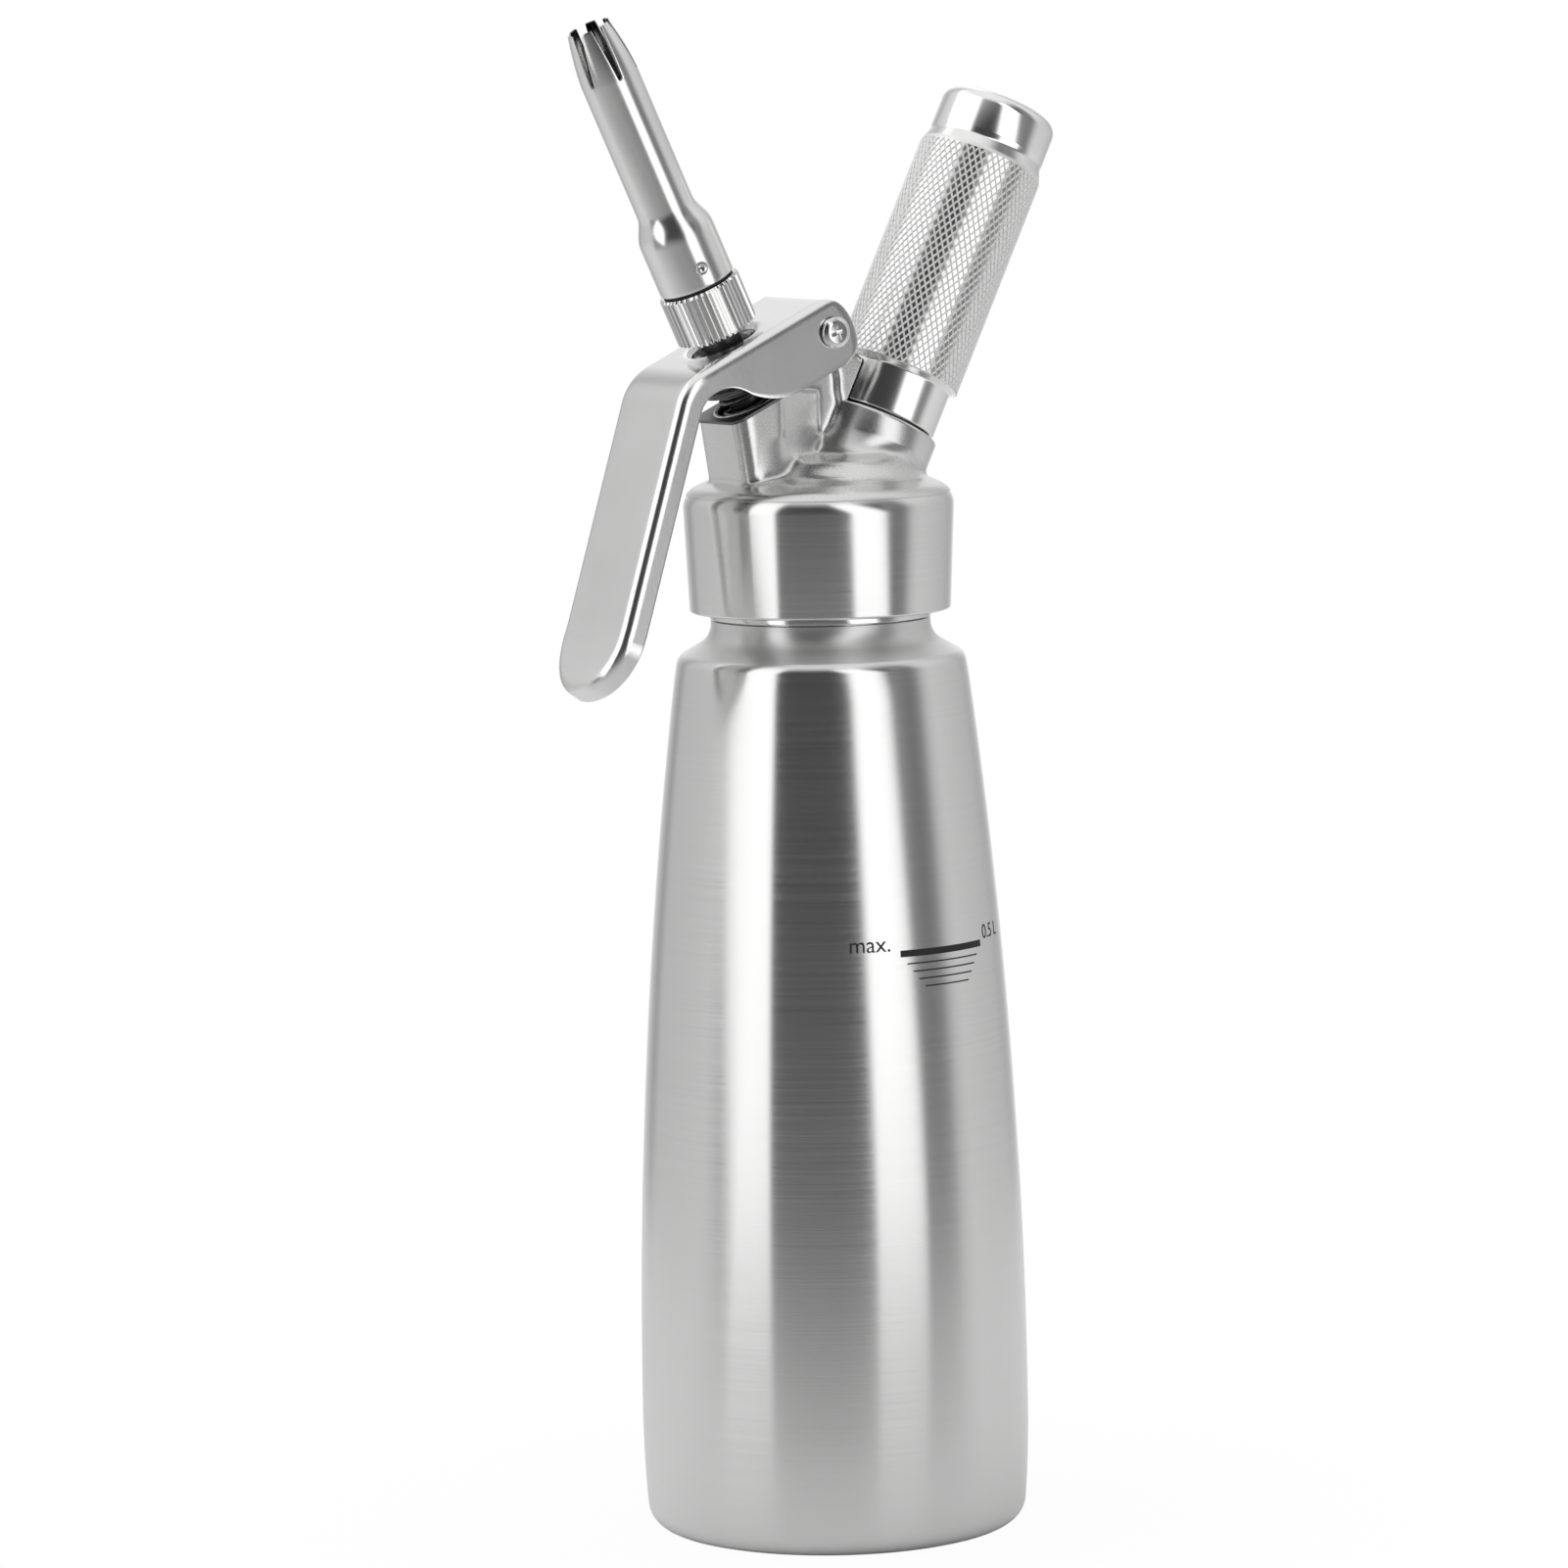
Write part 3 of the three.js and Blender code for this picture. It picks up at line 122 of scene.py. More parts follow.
class Sheet:
    # The nodes of one material or of the world.
    def __init__(self, owner):
        owner.use_nodes = True
        self.tree = owner.node_tree
        self.tree.nodes.clear()

    def add(self, kind, settings=None, inputs=None, output=0):
        node = self.tree.nodes.new("ShaderNode" + kind)
        for name, value in (settings or {}).items():
            if name == "stops":
                self.fillRamp(node.color_ramp.elements, value)
            else:
                setattr(node, name, value)
        for name, value in (inputs or {}).items():
            if isinstance(value, Wire):
                self.tree.links.new(value.socket, node.inputs[name])
            else:
                node.inputs[name].default_value = value
        return Wire(self, node.outputs[output]) if node.outputs else None

    def sum(self, operation, *values):
        return self.add("Math", {"operation": operation}, dict(enumerate(values)))

    def fillRamp(self, elements, stops):
        while len(elements) < len(stops):
            elements.new(1)
        for element, (place, value) in zip(elements, stops):
            element.position = place
            element.color = (value, value, value, 1)

    def mix(self, factor, first, second, blend="MIX"):
        inputs = {0: factor, 6: first, 7: second}
        return self.add("Mix", {"data_type": "RGBA", "blend_type": blend}, inputs, output=2)

    def ramp(self, value, stops, brightest=1):
        # The brightness at a value, from (value, brightness) stops.
        low, span = stops[0][0], stops[-1][0] - stops[0][0]
        places = [((at - low) / span, bright / brightest) for at, bright in stops]
        return self.add("ValToRGB", {"stops": places}, {0: (value - low) / span}) * brightest

    def between(self, share, first, second):
        # A number that runs from the first to the second as the share grows from none to one.
        return first + share * (second - first)

    def parts(self, vector):
        whole = self.add("SeparateXYZ", {}, {0: vector})
        return [Wire(self, output) for output in whole.socket.node.outputs]

    def spot(self, **place):
        # A point of the piece's own frame, moved, turned or stretched.
        return self.add("Mapping", {}, {"Vector": self.add("TexCoord", output=3), **place})

    def noise(self, scale, detail=4, **place):
        inputs = {"Vector": self.spot(**place), "Scale": scale, "Detail": detail}
        return self.add("TexNoise", {}, inputs)

    def step(self, value, low, high, way="SMOOTHSTEP"):
        # Rises from none at the low value to one at the high.
        inputs = {"Value": value, "From Min": low, "From Max": high}
        return self.add("MapRange", {"interpolation_type": way}, inputs)

    def bump(self, height, strength):
        return self.add("Bump", {}, {"Height": height, "Strength": strength, "Distance": grainDepth})

    def offAxis(self, lean):
        # Millimetres from the axis that leans so many degrees to the right.
        x, y, z = self.parts(self.spot())
        off = x * cos(radians(lean)) - (z - axes["height"] * millimetre) * sin(radians(lean))
        return (off * off + y * y).math("SQRT") / millimetre


# Studio: brightness of the surroundings by the angle round the object, from the camera's side and
# positive to its right, and by the height over the horizon, both in degrees
studio = {
    "cameraSide": -121.5,  # degrees round the bottle's axis
    "sides": (
        (-180, 0.95), (-168, 0.72), (-160, 0.55), (-152, 0.46), (-146, 0.36), (-141, 0.40), (-134, 0.52),
        (-84, 0.57), (-77, 0.45), (-72, 0.24), (-60, 0.24), (60, 0.20), (72, 0.16), (79, 0.22), (87, 0.50),
        (95, 0.60), (136, 0.50), (146, 0.44), (158, 0.50), (168, 0.75), (180, 0.95),
    ),
    "front": (
        (-90, 0.50), (-36, 0.46), (-28, 0.32), (-20, 0.25), (-13, 0.19), (-8, 0.13), (-4, 0.085),
        (1, 0.06), (12, 0.05), (32, 0.03), (48, 0.3), (65, 0.85), (90, 0.85),
    ),
    "gain": ((-90, 1.25), (-15, 1.15), (-6, 1), (8, 1.05), (30, 1.25), (90, 1.25)),
    "frontReach": ((-180, 0), (-70, 0), (-62, 1), (54, 1), (62, 0), (180, 0)),
    "ceiling": ((-90, 0), (42, 0), (68, 1), (90, 1)),
    "overhead": 0.85,
    "brightest": 1.3,
    "blur": 1.2,
}
# Soft boxes: their upright edges lean by so many degrees for each degree of height
softBoxes = (
    {"left": -70, "leftLean": -1.16, "right": -37.1, "rightLean": 0.05, "bottom": -24, "top": 60,
     "light": 1.25},
    {"left": 25.8, "leftLean": -0.35, "right": 57, "rightLean": -0.5, "bottom": -24, "top": 50,
     "light": 1.3},
)


def inBox(sheet, angle, height, d):
    # One inside the soft box, none outside.
    reaches = (angle - height * d["leftLean"] - d["left"], height * d["rightLean"] + d["right"] - angle,
               height - d["bottom"], d["top"] - height)
    share = 1
    for reach in reaches:
        share = sheet.step(reach, -studio["blur"], studio["blur"]) * share
    return share


def addStudio():
    d, world = studio, bpy.data.worlds.new("studio")
    scene.world = world
    sheet = Sheet(world)
    x, y, z = sheet.parts(sheet.add("TexCoord"))
    around = y.math("ARCTAN2", x) / (2 * pi) + (0.5 - d["cameraSide"] / 360)
    angle = (around.math("FRACT") - 0.5) * 360
    height = z.math("ARCSINE") * (180 / pi)
    bright = sheet.ramp(angle, d["sides"], d["brightest"]) * sheet.ramp(height, d["gain"], d["brightest"])
    bright = sheet.between(sheet.ramp(angle, d["frontReach"]), bright, sheet.ramp(height, d["front"]))
    for box in softBoxes:
        bright = sheet.between(inBox(sheet, angle, height, box), bright, box["light"])
    bright = sheet.between(sheet.ramp(height, d["ceiling"]), bright, d["overhead"])
    bright = sheet.between(sheet.add("LightPath"), bright, 1)
    light = sheet.add("Background", {}, {"Color": bright, "Strength": 1})
    sheet.add("OutputWorld", {}, {"Surface": light})


addStudio()
print("studio set")

# The nozzle and the charger holder lean from one point on the bottle's axis
axes = {"height": 190.7, "nozzleLean": 24.9, "holderLean": 26.4}
axesPoint = Matrix.Translation((0, 0, axes["height"]))
nozzleFrame = axesPoint @ Matrix.Rotation(radians(-axes["nozzleLean"]), 4, "Y")
holderFrame = axesPoint @ Matrix.Rotation(radians(axes["holderLean"]), 4, "Y")

# Finishes


def finish(name, build):
    material = bpy.data.materials.new(name)
    sheet = Sheet(material)
    shader = sheet.add("BsdfPrincipled", {}, build(sheet))
    sheet.add("OutputMaterial", {}, {"Surface": shader})
    return material


def grey(value):
    return (value, value, value * 0.995, 1)


# Brushing: noise scales, shares of the tone and of the roughness, and where the neck's matt band starts
# and ends, in millimetres over the foot
brushing = {
    "lines": (30, 30, 6000), "linesTone": 0.16, "linesRough": 0.08,
    "broad": (14, 14, 1500), "broadTone": 0.08, "broadRough": 0.06,
    "marks": 60, "marksTone": 0.03, "tone": 0.37, "rough": 0.13, "dark": 0.68, "light": 0.98, "bump": 0.06,
    "neckStart": (173, 177), "neckEnd": (182.6, 182), "neckRough": 0.2, "stretch": 0.88, "along": 0.25,
}
# The nozzle's tube, painted near black inside its skin as painted shade in the bore, the skin given by the
# distance from the nozzle's axis
tube = {"skin": (3.9, 4.25), "inside": 0.02, "tone": 0.84, "toneClouds": 0.1, "rough": 0.16,
        "roughClouds": 0.08}
# Where a groove of the knurl starts and ends, from the holder's axis, and the looks of tops and grooves
knurling = {"floor": (12.25, 12.4), "top": (12.585, 12.635), "dark": 0.92, "light": 0.99, "rough": 0.14,
            "roughClouds": 0.06, "roughGroove": 0.4}


def brushedSteel(sheet):
    # Fine lines round the bottle, with a few faint handling marks.
    d = brushing
    lines = sheet.noise(1, 3, Scale=d["lines"])
    broad = sheet.noise(1, 4, Scale=d["broad"])
    marks = sheet.noise(d["marks"], 5)
    height = sheet.parts(sheet.spot())[2] / millimetre
    neck = sheet.step(height, *d["neckStart"], "LINEAR") * sheet.step(height, *d["neckEnd"], "LINEAR")
    tone = lines * d["linesTone"] + broad * d["broadTone"] + marks * d["marksTone"] + d["tone"]
    rough = lines * d["linesRough"] + broad * d["broadRough"] + neck * d["neckRough"] + d["rough"]
    return {
        "Base Color": sheet.mix(tone, grey(d["dark"]), grey(d["light"])),
        "Metallic": 1,
        "Roughness": rough,
        "Anisotropic": d["stretch"],
        "Anisotropic Rotation": d["along"],
        "Normal": sheet.bump(lines, d["bump"]),
    }


def nozzleSteel(sheet):
    d = tube
    # painted shade: near black inside the skin, where the bore lies in shadow
    outside = sheet.step(sheet.offAxis(-axes["nozzleLean"]), *d["skin"])
    clouds = sheet.noise(90, 4)
    tone = outside * (clouds * d["toneClouds"] + d["tone"])
    return {
        "Base Color": sheet.mix(tone, grey(d["inside"]), grey(1)),
        "Metallic": 1,
        "Roughness": clouds * d["roughClouds"] + d["rough"],
    }


def knurledSteel(sheet):
    # Bright worn diamonds; the grooves between them are duller and painted white, a painted highlight for the
    # light their flanks catch.
    d, reach = knurling, sheet.offAxis(axes["holderLean"])
    groove = sheet.step(reach, *d["floor"]) * (1 - sheet.step(reach, *d["top"]))
    clouds = sheet.noise(80, 3)
    return {
        # the grooves' white is painted light
        "Base Color": sheet.mix(groove, sheet.mix(clouds, grey(d["dark"]), grey(d["light"])), grey(1)),
        "Metallic": 1,
        "Roughness": groove * d["roughGroove"] + clouds * d["roughClouds"] + d["rough"],
    }


def grained(name, dark, light, rough, grain, clouds=None, bump=0, metal=1):
    # A fine grain and broad clouds, each with its scale, detail and shares of tone and roughness.
    def build(sheet):
        marks = [(sheet.noise(scale, detail), toneShare, roughShare)
                 for scale, detail, toneShare, roughShare in filter(None, (grain, clouds))]
        inputs = {
            "Base Color": sheet.mix(sum(mark * share for mark, share, _ in marks), dark, light),
            "Metallic": metal,
            "Roughness": sum(mark * share for mark, _, share in marks) + rough,
        }
        if bump:
            inputs["Normal"] = sheet.bump(marks[0][0], bump)
        return inputs
    return finish(name, build)


finishes = {
    "bottle_steel": finish("brushedSteel", brushedSteel),
    "cast_steel": grained("satinSteel", grey(0.70), grey(0.90), 0.17, grain=(3500, 3, 0.5, 0.08),
                          clouds=(90, 4, 0.4, 0.10), bump=0.10),
    "polished_steel": grained("polishedSteel", grey(0.80), grey(0.92), 0.10, grain=(2500, 2, 0, 0.04),
                              clouds=(70, 3, 1, 0.05), bump=0.04),
    "lever": grained("leverSteel", grey(0.84), grey(0.96), 0.14, grain=(2800, 3, 0, 0.05),
                     clouds=(60, 4, 1, 0.05), bump=0.06),
    "nozzle": finish("nozzleSteel", nozzleSteel),
    "knurled_steel": finish("knurledSteel", knurledSteel),
    # Painted shade and reflection: near-black steel for the valve stem in shadow and for the turret's face
    "dark_steel": grained("paintedShadeSteel", grey(0.10), grey(0.22), 0.28, grain=(2500, 2, 1, 0.1)),
    "spring_steel": grained("springSteel", grey(0.14), grey(0.24), 0.22, grain=(2500, 2, 1, 0.08)),
    "brass": grained("brass", (0.55, 0.38, 0.14, 1), (0.72, 0.52, 0.22, 1), 0.25, grain=(2200, 3, 1, 0.1)),
    "black_rubber": grained("blackRubber", grey(0.012), grey(0.03), 0.5, grain=(1800, 3, 1, 0.15),
                            bump=0.08, metal=0),
    "red_silicone": grained("redSilicone", (0.42, 0.05, 0.03, 1), (0.52, 0.09, 0.06, 1), 0.5,
                            grain=(1800, 3, 1, 0.15), bump=0.08, metal=0),
    "grey_silicone": grained("greySilicone", grey(0.22), grey(0.30), 0.5, grain=(1800, 3, 1, 0.15),
                             bump=0.08, metal=0),
    "ink": grained("printedInk", grey(0.008), grey(0.02), 0.55, grain=(900, 4, 1, 0.1), metal=0),
}
print("finishes made")

# Shaping helpers
threadSides = 72
edgeAngle = radians(50)  # an edge sharper than this is softened
spare = 1  # how far a form runs into its neighbour, or past a face that is cut later


def spaced(start, end, count):
    # Even steps from the start on, without the end.
    return [start + (end - start) * i / count for i in range(count)]


def wireSection(radius, height, wire):
    # The round section of a wire that lies in a ring.
    return [(radius + wire * cos(radians(a)), height + wire * sin(radians(a))) for a in range(0, 360, 30)]


def rounded(points, steps=5):
    # An outline whose corners, given as (r, z, radius), are rounded off.
    line = []
    for i, (r, z, *radius) in enumerate(points):
        here = Vector((r, z))
        if not radius:
            line.append(here)
            continue
        back = (Vector(points[i - 1][:2]) - here).normalized()
        on = (Vector(points[(i + 1) % len(points)][:2]) - here).normalized()
        half = back.angle(on) / 2
        reach = radius[0] / tan(half)
        centre = here + (back + on).normalized() * (radius[0] / sin(half))
        first, last = here + back * reach - centre, here + on * reach - centre
        start = atan2(first.y, first.x)
        sweep = (atan2(last.y, last.x) - start + pi) % (2 * pi) - pi
        for k in range(steps + 1):
            angle = start + sweep * k / steps
            line.append(centre + Vector((cos(angle), sin(angle))) * radius[0])
    return line


def tidy(mesh, distance=1e-4):
    bmesh.ops.remove_doubles(mesh, verts=mesh.verts, dist=distance)
    bmesh.ops.recalc_face_normals(mesh, faces=mesh.faces)
    return mesh


def spun(points, sides=96, ring=False):
    # Turns an outline of (r, z) points round the Z axis. A ring's outline closes on itself.
    mesh = bmesh.new()
    verts = [mesh.verts.new((p[0], 0, p[1])) for p in points]
    edges = [mesh.edges.new(pair) for pair in zip(verts, verts[1:])]
    if ring:
        edges.append(mesh.edges.new((verts[-1], verts[0])))
    bmesh.ops.spin(mesh, geom=verts + edges, cent=(0, 0, 0), axis=(0, 0, 1), angle=2 * pi,
                   steps=sides, use_merge=True)
    return tidy(mesh)


def coiled(points, pitch, turns, sides=48):
    # Winds a closed outline of (r, z) points up a helix and closes its ends.
    mesh = bmesh.new()
    verts = [mesh.verts.new((p[0], 0, p[1])) for p in points]
    edges = [mesh.edges.new(pair) for pair in zip(verts, verts[1:] + verts[:1])]
    steps = round(turns * sides)
    made = bmesh.ops.spin(mesh, geom=verts + edges, cent=(0, 0, 0), axis=(0, 0, 1),
                          dvec=(0, 0, pitch * turns / steps), angle=2 * pi * turns, steps=steps)
    last = [edge for edge in made["geom_last"] if isinstance(edge, bmesh.types.BMEdge)]
    for loop in (edges, last):
        bmesh.ops.edgeloop_fill(mesh, edges=loop)
    return tidy(mesh, 1e-5)


def everything(mesh):
    return mesh.verts[:] + mesh.edges[:] + mesh.faces[:]


def joined(*meshes):
    # Puts several meshes in one.
    whole = bmesh.new()
    for mesh in meshes:
        data = bpy.data.meshes.new("loose")
        mesh.to_mesh(data)
        mesh.free()
        whole.from_mesh(data)
        bpy.data.meshes.remove(data)
    return whole


def loose(mesh):
    data = bpy.data.meshes.new("loose")
    mesh.to_mesh(data)
    mesh.free()
    item = bpy.data.objects.new("loose", data)
    scene.collection.objects.link(item)
    return item


def shaped(mesh, *modifiers):
    # Runs modifiers, given as (kind, settings), and gives their result as a mesh.
    item = loose(mesh)
    spare = []
    for kind, settings in modifiers:
        modifier = item.modifiers.new(kind, kind)
        for name, value in settings.items():
            if isinstance(value, bmesh.types.BMesh):
                value = loose(value)
                spare.append(value)
            setattr(modifier, name, value)
    done = bpy.data.meshes.new_from_object(item.evaluated_get(bpy.context.evaluated_depsgraph_get()))
    result = bmesh.new()
    result.from_mesh(done)
    for used in [item, *spare]:
        bpy.data.meshes.remove(used.data)
    bpy.data.meshes.remove(done)
    return result


def softened(width):
    # The bevel that softens a piece's sharp edges.
    return "BEVEL", {"width": width, "segments": 2, "limit_method": "ANGLE", "angle_limit": edgeAngle}


def cut(mesh, *tools):
    for tool in tools:
        mesh = shaped(mesh, ("BOOLEAN", {"operation": "DIFFERENCE", "solver": "EXACT", "object": tool}))
    return mesh


def piece(name, mesh, body, finishName, nodes=(), place=Matrix(), sharp=32):
    # Brings a mesh into metres, shades it and hangs it on its body.
    mesh.transform(Matrix.Scale(millimetre, 4) @ place)
    data = bpy.data.meshes.new(name)
    mesh.to_mesh(data)
    mesh.free()
    data.shade_smooth()
    data.set_sharp_from_angle(angle=radians(sharp))
    data.materials.append(finishes[finishName])
    item = bpy.data.objects.new(name, data)
    scene.collection.objects.link(item)
    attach(item, body)
    if nodes:
        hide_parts(*nodes)
    finishName != "ink"
    return item


# Bottle

bottle = {
    "belly": 38.5, "bellyHeight": 23, "foot": 37.4, "footCorner": 4.6, "dish": 31.5, "dishRise": 1.1,
    "dishRound": 2, "rimRound": 1.5, "base": 1.6, "floorCorner": 5, "wallTop": 169.5,
    "shoulder": 28.8, "shoulderHeight": 172.5, "shoulderCorner": 3, "shoulderIn": 0.35,
    "shoulderInner": 27.2, "shoulderSlope": 30, "neck": 21.7, "neckTop": 181.2, "neckFillet": 4.5,
    "neckDrop": 0.2, "wall": 1, "seam": (0.01, 0.2), "sides": 192, "rows": 64,
}


def bottleRadius(height):
    if height > bottle["bellyHeight"]:
        rise = (height - bottle["bellyHeight"]) / (bottle["shoulderHeight"] - bottle["bellyHeight"])
        return bottle["belly"] - (bottle["belly"] - bottle["shoulder"]) * rise ** 2
    drop = 1 - height / bottle["bellyHeight"]
    return bottle["belly"] - (bottle["belly"] - bottle["foot"]) * drop ** 2


def addBottle():
    d, wall = bottle, bottle["wall"]
    slope = tan(radians(d["shoulderSlope"]))
    coneTop = d["shoulderHeight"] + d["shoulderCorner"] / 2 + (d["shoulder"] - d["neck"]) * slope
    heights = spaced(d["footCorner"], d["wallTop"], d["rows"])[1:] + [d["wallTop"]]
    outer = rounded([
        (0, d["dishRise"]), (d["dish"] - d["dishRound"], d["dishRise"], d["dishRound"]),
        (d["dish"], 0, d["rimRound"]), (bottleRadius(0), 0, d["footCorner"]),
        (bottleRadius(heights[0]), heights[0]),
    ], steps=8)
    outer += [(bottleRadius(z), z) for z in heights[1:]]
    outer += rounded([
        (bottleRadius(d["wallTop"]) - d["seam"][0], d["wallTop"] + d["seam"][1]),
        (d["shoulder"] - d["shoulderIn"], d["shoulderHeight"] + d["shoulderCorner"] / 2, d["shoulderCorner"]),
        (d["neck"], coneTop - d["neckDrop"], d["neckFillet"]), (d["neck"], d["neckTop"]),
    ], steps=8)[1:]
    floor = d["base"] + wall
    inner = [(d["neck"] - wall, d["neckTop"]), (d["neck"] - wall, coneTop - wall),
             (d["shoulderInner"], d["shoulderHeight"] + wall)]
    inner += [(bottleRadius(z) - wall, z) for z in reversed(heights)]
    inner += [(bottleRadius(d["floorCorner"]) - d["floorCorner"], floor), (0, floor)]
    piece("bottle", spun(outer + inner, d["sides"]), "bottle", "bottle_steel", ["bottle_body"])


addBottle()
print("bottle made")

# Neck ring: the threaded mouth and the polished band under the head

neckRing = {
    "bore": 18.6, "socket": 20.4, "socketBottom": 174.83, "band": 21.9, "bandBottom": 181.5,
    "bandTop": 183.5, "edge": 0.2, "round": 0.6, "root": 21.2, "lip": 200, "lipRound": 0.8, "sides": 144,
}
neckThread = {"root": 21.1, "crest": 22.4, "flank": 1.8, "top": 0.9, "pitch": 4, "turns": 2.5, "start": 188}


def ridge(d):
    # A thread's ridge, from its root to its crest.
    middle, crest, flank = d["start"], d["top"] / 2, d["flank"] / 2
    points = [(d["root"], middle - flank), (d["crest"], middle - crest),
              (d["crest"], middle + crest), (d["root"], middle + flank)]
    return coiled(points, d["pitch"], d["turns"], threadSides)


def addNeckRing():
    d = neckRing
    wall = rounded([
        (d["bore"], d["socketBottom"]), (d["socket"], d["socketBottom"]), (d["socket"], d["bandBottom"]),
        (d["band"], d["bandBottom"], d["edge"]), (d["band"], d["bandTop"], d["round"]),
        (d["root"], d["bandTop"] + d["round"]), (d["root"], d["lip"], d["lipRound"]),
        (d["bore"], d["lip"], d["lipRound"]),
    ])
    piece("neckRing", joined(spun(wall, d["sides"], ring=True), ridge(neckThread)), "bottle",
          "polished_steel", ["neck_ring"])


addNeckRing()
print("neck ring made")

# Head casting

head = {
    "rim": 25.8, "rimHeight": 182.8, "rimEdge": 0.6, "innerEdge": 0.5, "skirt": 26.85, "corner": 4.2,
    "shoulder": 206.2, "crownEdge": 21.5, "crown": 208.6, "crownRound": 1.5, "root": 22.85, "ceiling": 206,
    "gasketSeat": 202.6, "ceilingRadius": 14.5, "sides": 144,
}
# The casting's own skin over the shell
dome = {"foot": 191.8, "in": 0.3, "over": 0.25, "edgeRound": 3, "top": 212.5, "sides": 128}
hump = {"x": 2.5, "height": 203, "length": 20, "width": 22, "rise": 14.6, "top": 213.3}  # under the lug
headThread = {
    "root": 22.95, "crest": 21.65, "flank": 1.8, "top": 0.9, "pitch": 4, "turns": 2.25, "start": 186,
}
turret = {
    "half": 8.6, "front": -21, "frontHeight": 208.5, "lean": 0.16, "corner": 3, "back": -13,
    "wedgeEnd": -2, "wedgeHalf": 4, "wedgeTop": 226, "rim": 37.57, "rimHalf": 8.7, "face": 0.3, "run": 3,
    "radius": 9.7, "trim": 11.1, "pocket": 6.3, "pocketFloor": 24.87, "bore": 4.6, "boreBottom": 10.3,
    "faceHole": 6.35, "lip": 6.95, "lipWire": 0.3, "lipSink": 0.1,
}
socket = {
    "foot": 13.6, "radius": 12.4, "footPlace": 21, "top": 31.88, "round": 0.7, "bottom": 14, "band": 1.2,
    "seatDepth": 6, "seatBore": 5, "spigot": 9.35, "spigotRound": 0.5, "spigotTop": 43.98, "bore": 1.3,
    "boreLength": 12, "chamber": 4.2, "chamberFloor": 22.88, "chamberTop": 25.6, "plugBore": 4.9,
    "plugTop": 41.6, "mouth": 7.2, "mouthEdge": 0.6,
}
socketThread = {
    "root": 9.25, "crest": 10.25, "flank": 1.05, "top": 0.5, "pitch": 2.5, "turns": 2.5, "start": 36.88,
}
lug = {
    "pivotX": -2.99, "pivotHeight": 237.97, "eye": 4.2, "eyeEnd": 225, "hole": 3.3, "holeHalf": 8,
    "half": 4.15, "waistX": 2.6, "waistHeight": 228.5, "rightX": 13.3, "footX": 1.5, "footTop": 220.6,
    "footHalf": 6.5, "toe": 5, "webHalf": 3, "webDrop": 8, "voxel": 0.36, "smoothing": 8,
}
pivotFrame = Matrix.Translation((lug["pivotX"], 0, lug["pivotHeight"])) @ Matrix.Rotation(pi / 2, 4, "X")
valley = {"left": -26, "right": 14, "top": 218, "reach": 21, "turns": 90}  # where the casting is eased most


def slab(outline, half):
    # A plate standing on the symmetry plane, from its outline in X and Z.
    mesh = bmesh.new()
    face = mesh.faces.new([mesh.verts.new((x, -half, z)) for x, z in outline])
    made = bmesh.ops.extrude_face_region(mesh, geom=[face])
    moved = [vert for vert in made["geom"] if isinstance(vert, bmesh.types.BMVert)]
    bmesh.ops.translate(mesh, verts=moved, vec=(0, 2 * half, 0))
    return tidy(mesh)


def curve(start, pull, end, steps=8):
    # Points along a bend from start to end, drawn towards pull.
    return [tuple((1 - k) ** 2 * a + 2 * k * (1 - k) * b + k * k * c for a, b, c in zip(start, pull, end))
            for k in (i / steps for i in range(steps + 1))]


def roundedBlock(outline, half, corner, steps=6):
    # A slab whose edges at its lowest X are rounded.
    mesh = slab(outline, half)
    front = min(vert.co.x for vert in mesh.verts) + corner
    edges = [edge for edge in mesh.edges if all(vert.co.x < front for vert in edge.verts)
             and abs(edge.verts[0].co.y - edge.verts[1].co.y) < half]
    bmesh.ops.bevel(mesh, geom=edges, offset=corner, offset_type="OFFSET", segments=steps, profile=0.5,
                    affect="EDGES", material=-1)
    return mesh


def turretBlock(low):
    # The block that holds the valve, and the wedge between it and the lug.
    d = turret
    top = [(nozzleFrame @ Vector((t, 0, d["rim"] + spare))) for t in (-d["radius"], d["radius"])]
    front = [(d["front"] - (z - d["frontHeight"]) * d["lean"], z) for z in (low, top[0].z + 2 * spare)]
    rise = (top[1].z - top[0].z) / (top[1].x - top[0].x)
    backTop = top[0].z + (d["back"] - top[0].x) * rise
    block = roundedBlock([*front, (d["back"], backTop), (d["back"], low)], d["half"], d["corner"])
    wedge = slab([(d["back"] - spare, low), (d["back"] - spare, backTop), (d["wedgeEnd"], d["wedgeTop"]),
                  (d["wedgeEnd"], low)], d["half"])
    for vert in wedge.verts:
        if vert.co.x > d["back"]:
            vert.co.y *= d["wedgeHalf"] / d["half"]
    return joined(block, wedge)


def eyePoints():
    d = lug
    return [(d["pivotX"] + d["eye"] * cos(radians(a)), d["pivotHeight"] + d["eye"] * sin(radians(a)))
            for a in range(0, d["eyeEnd"] + 1, 15)]


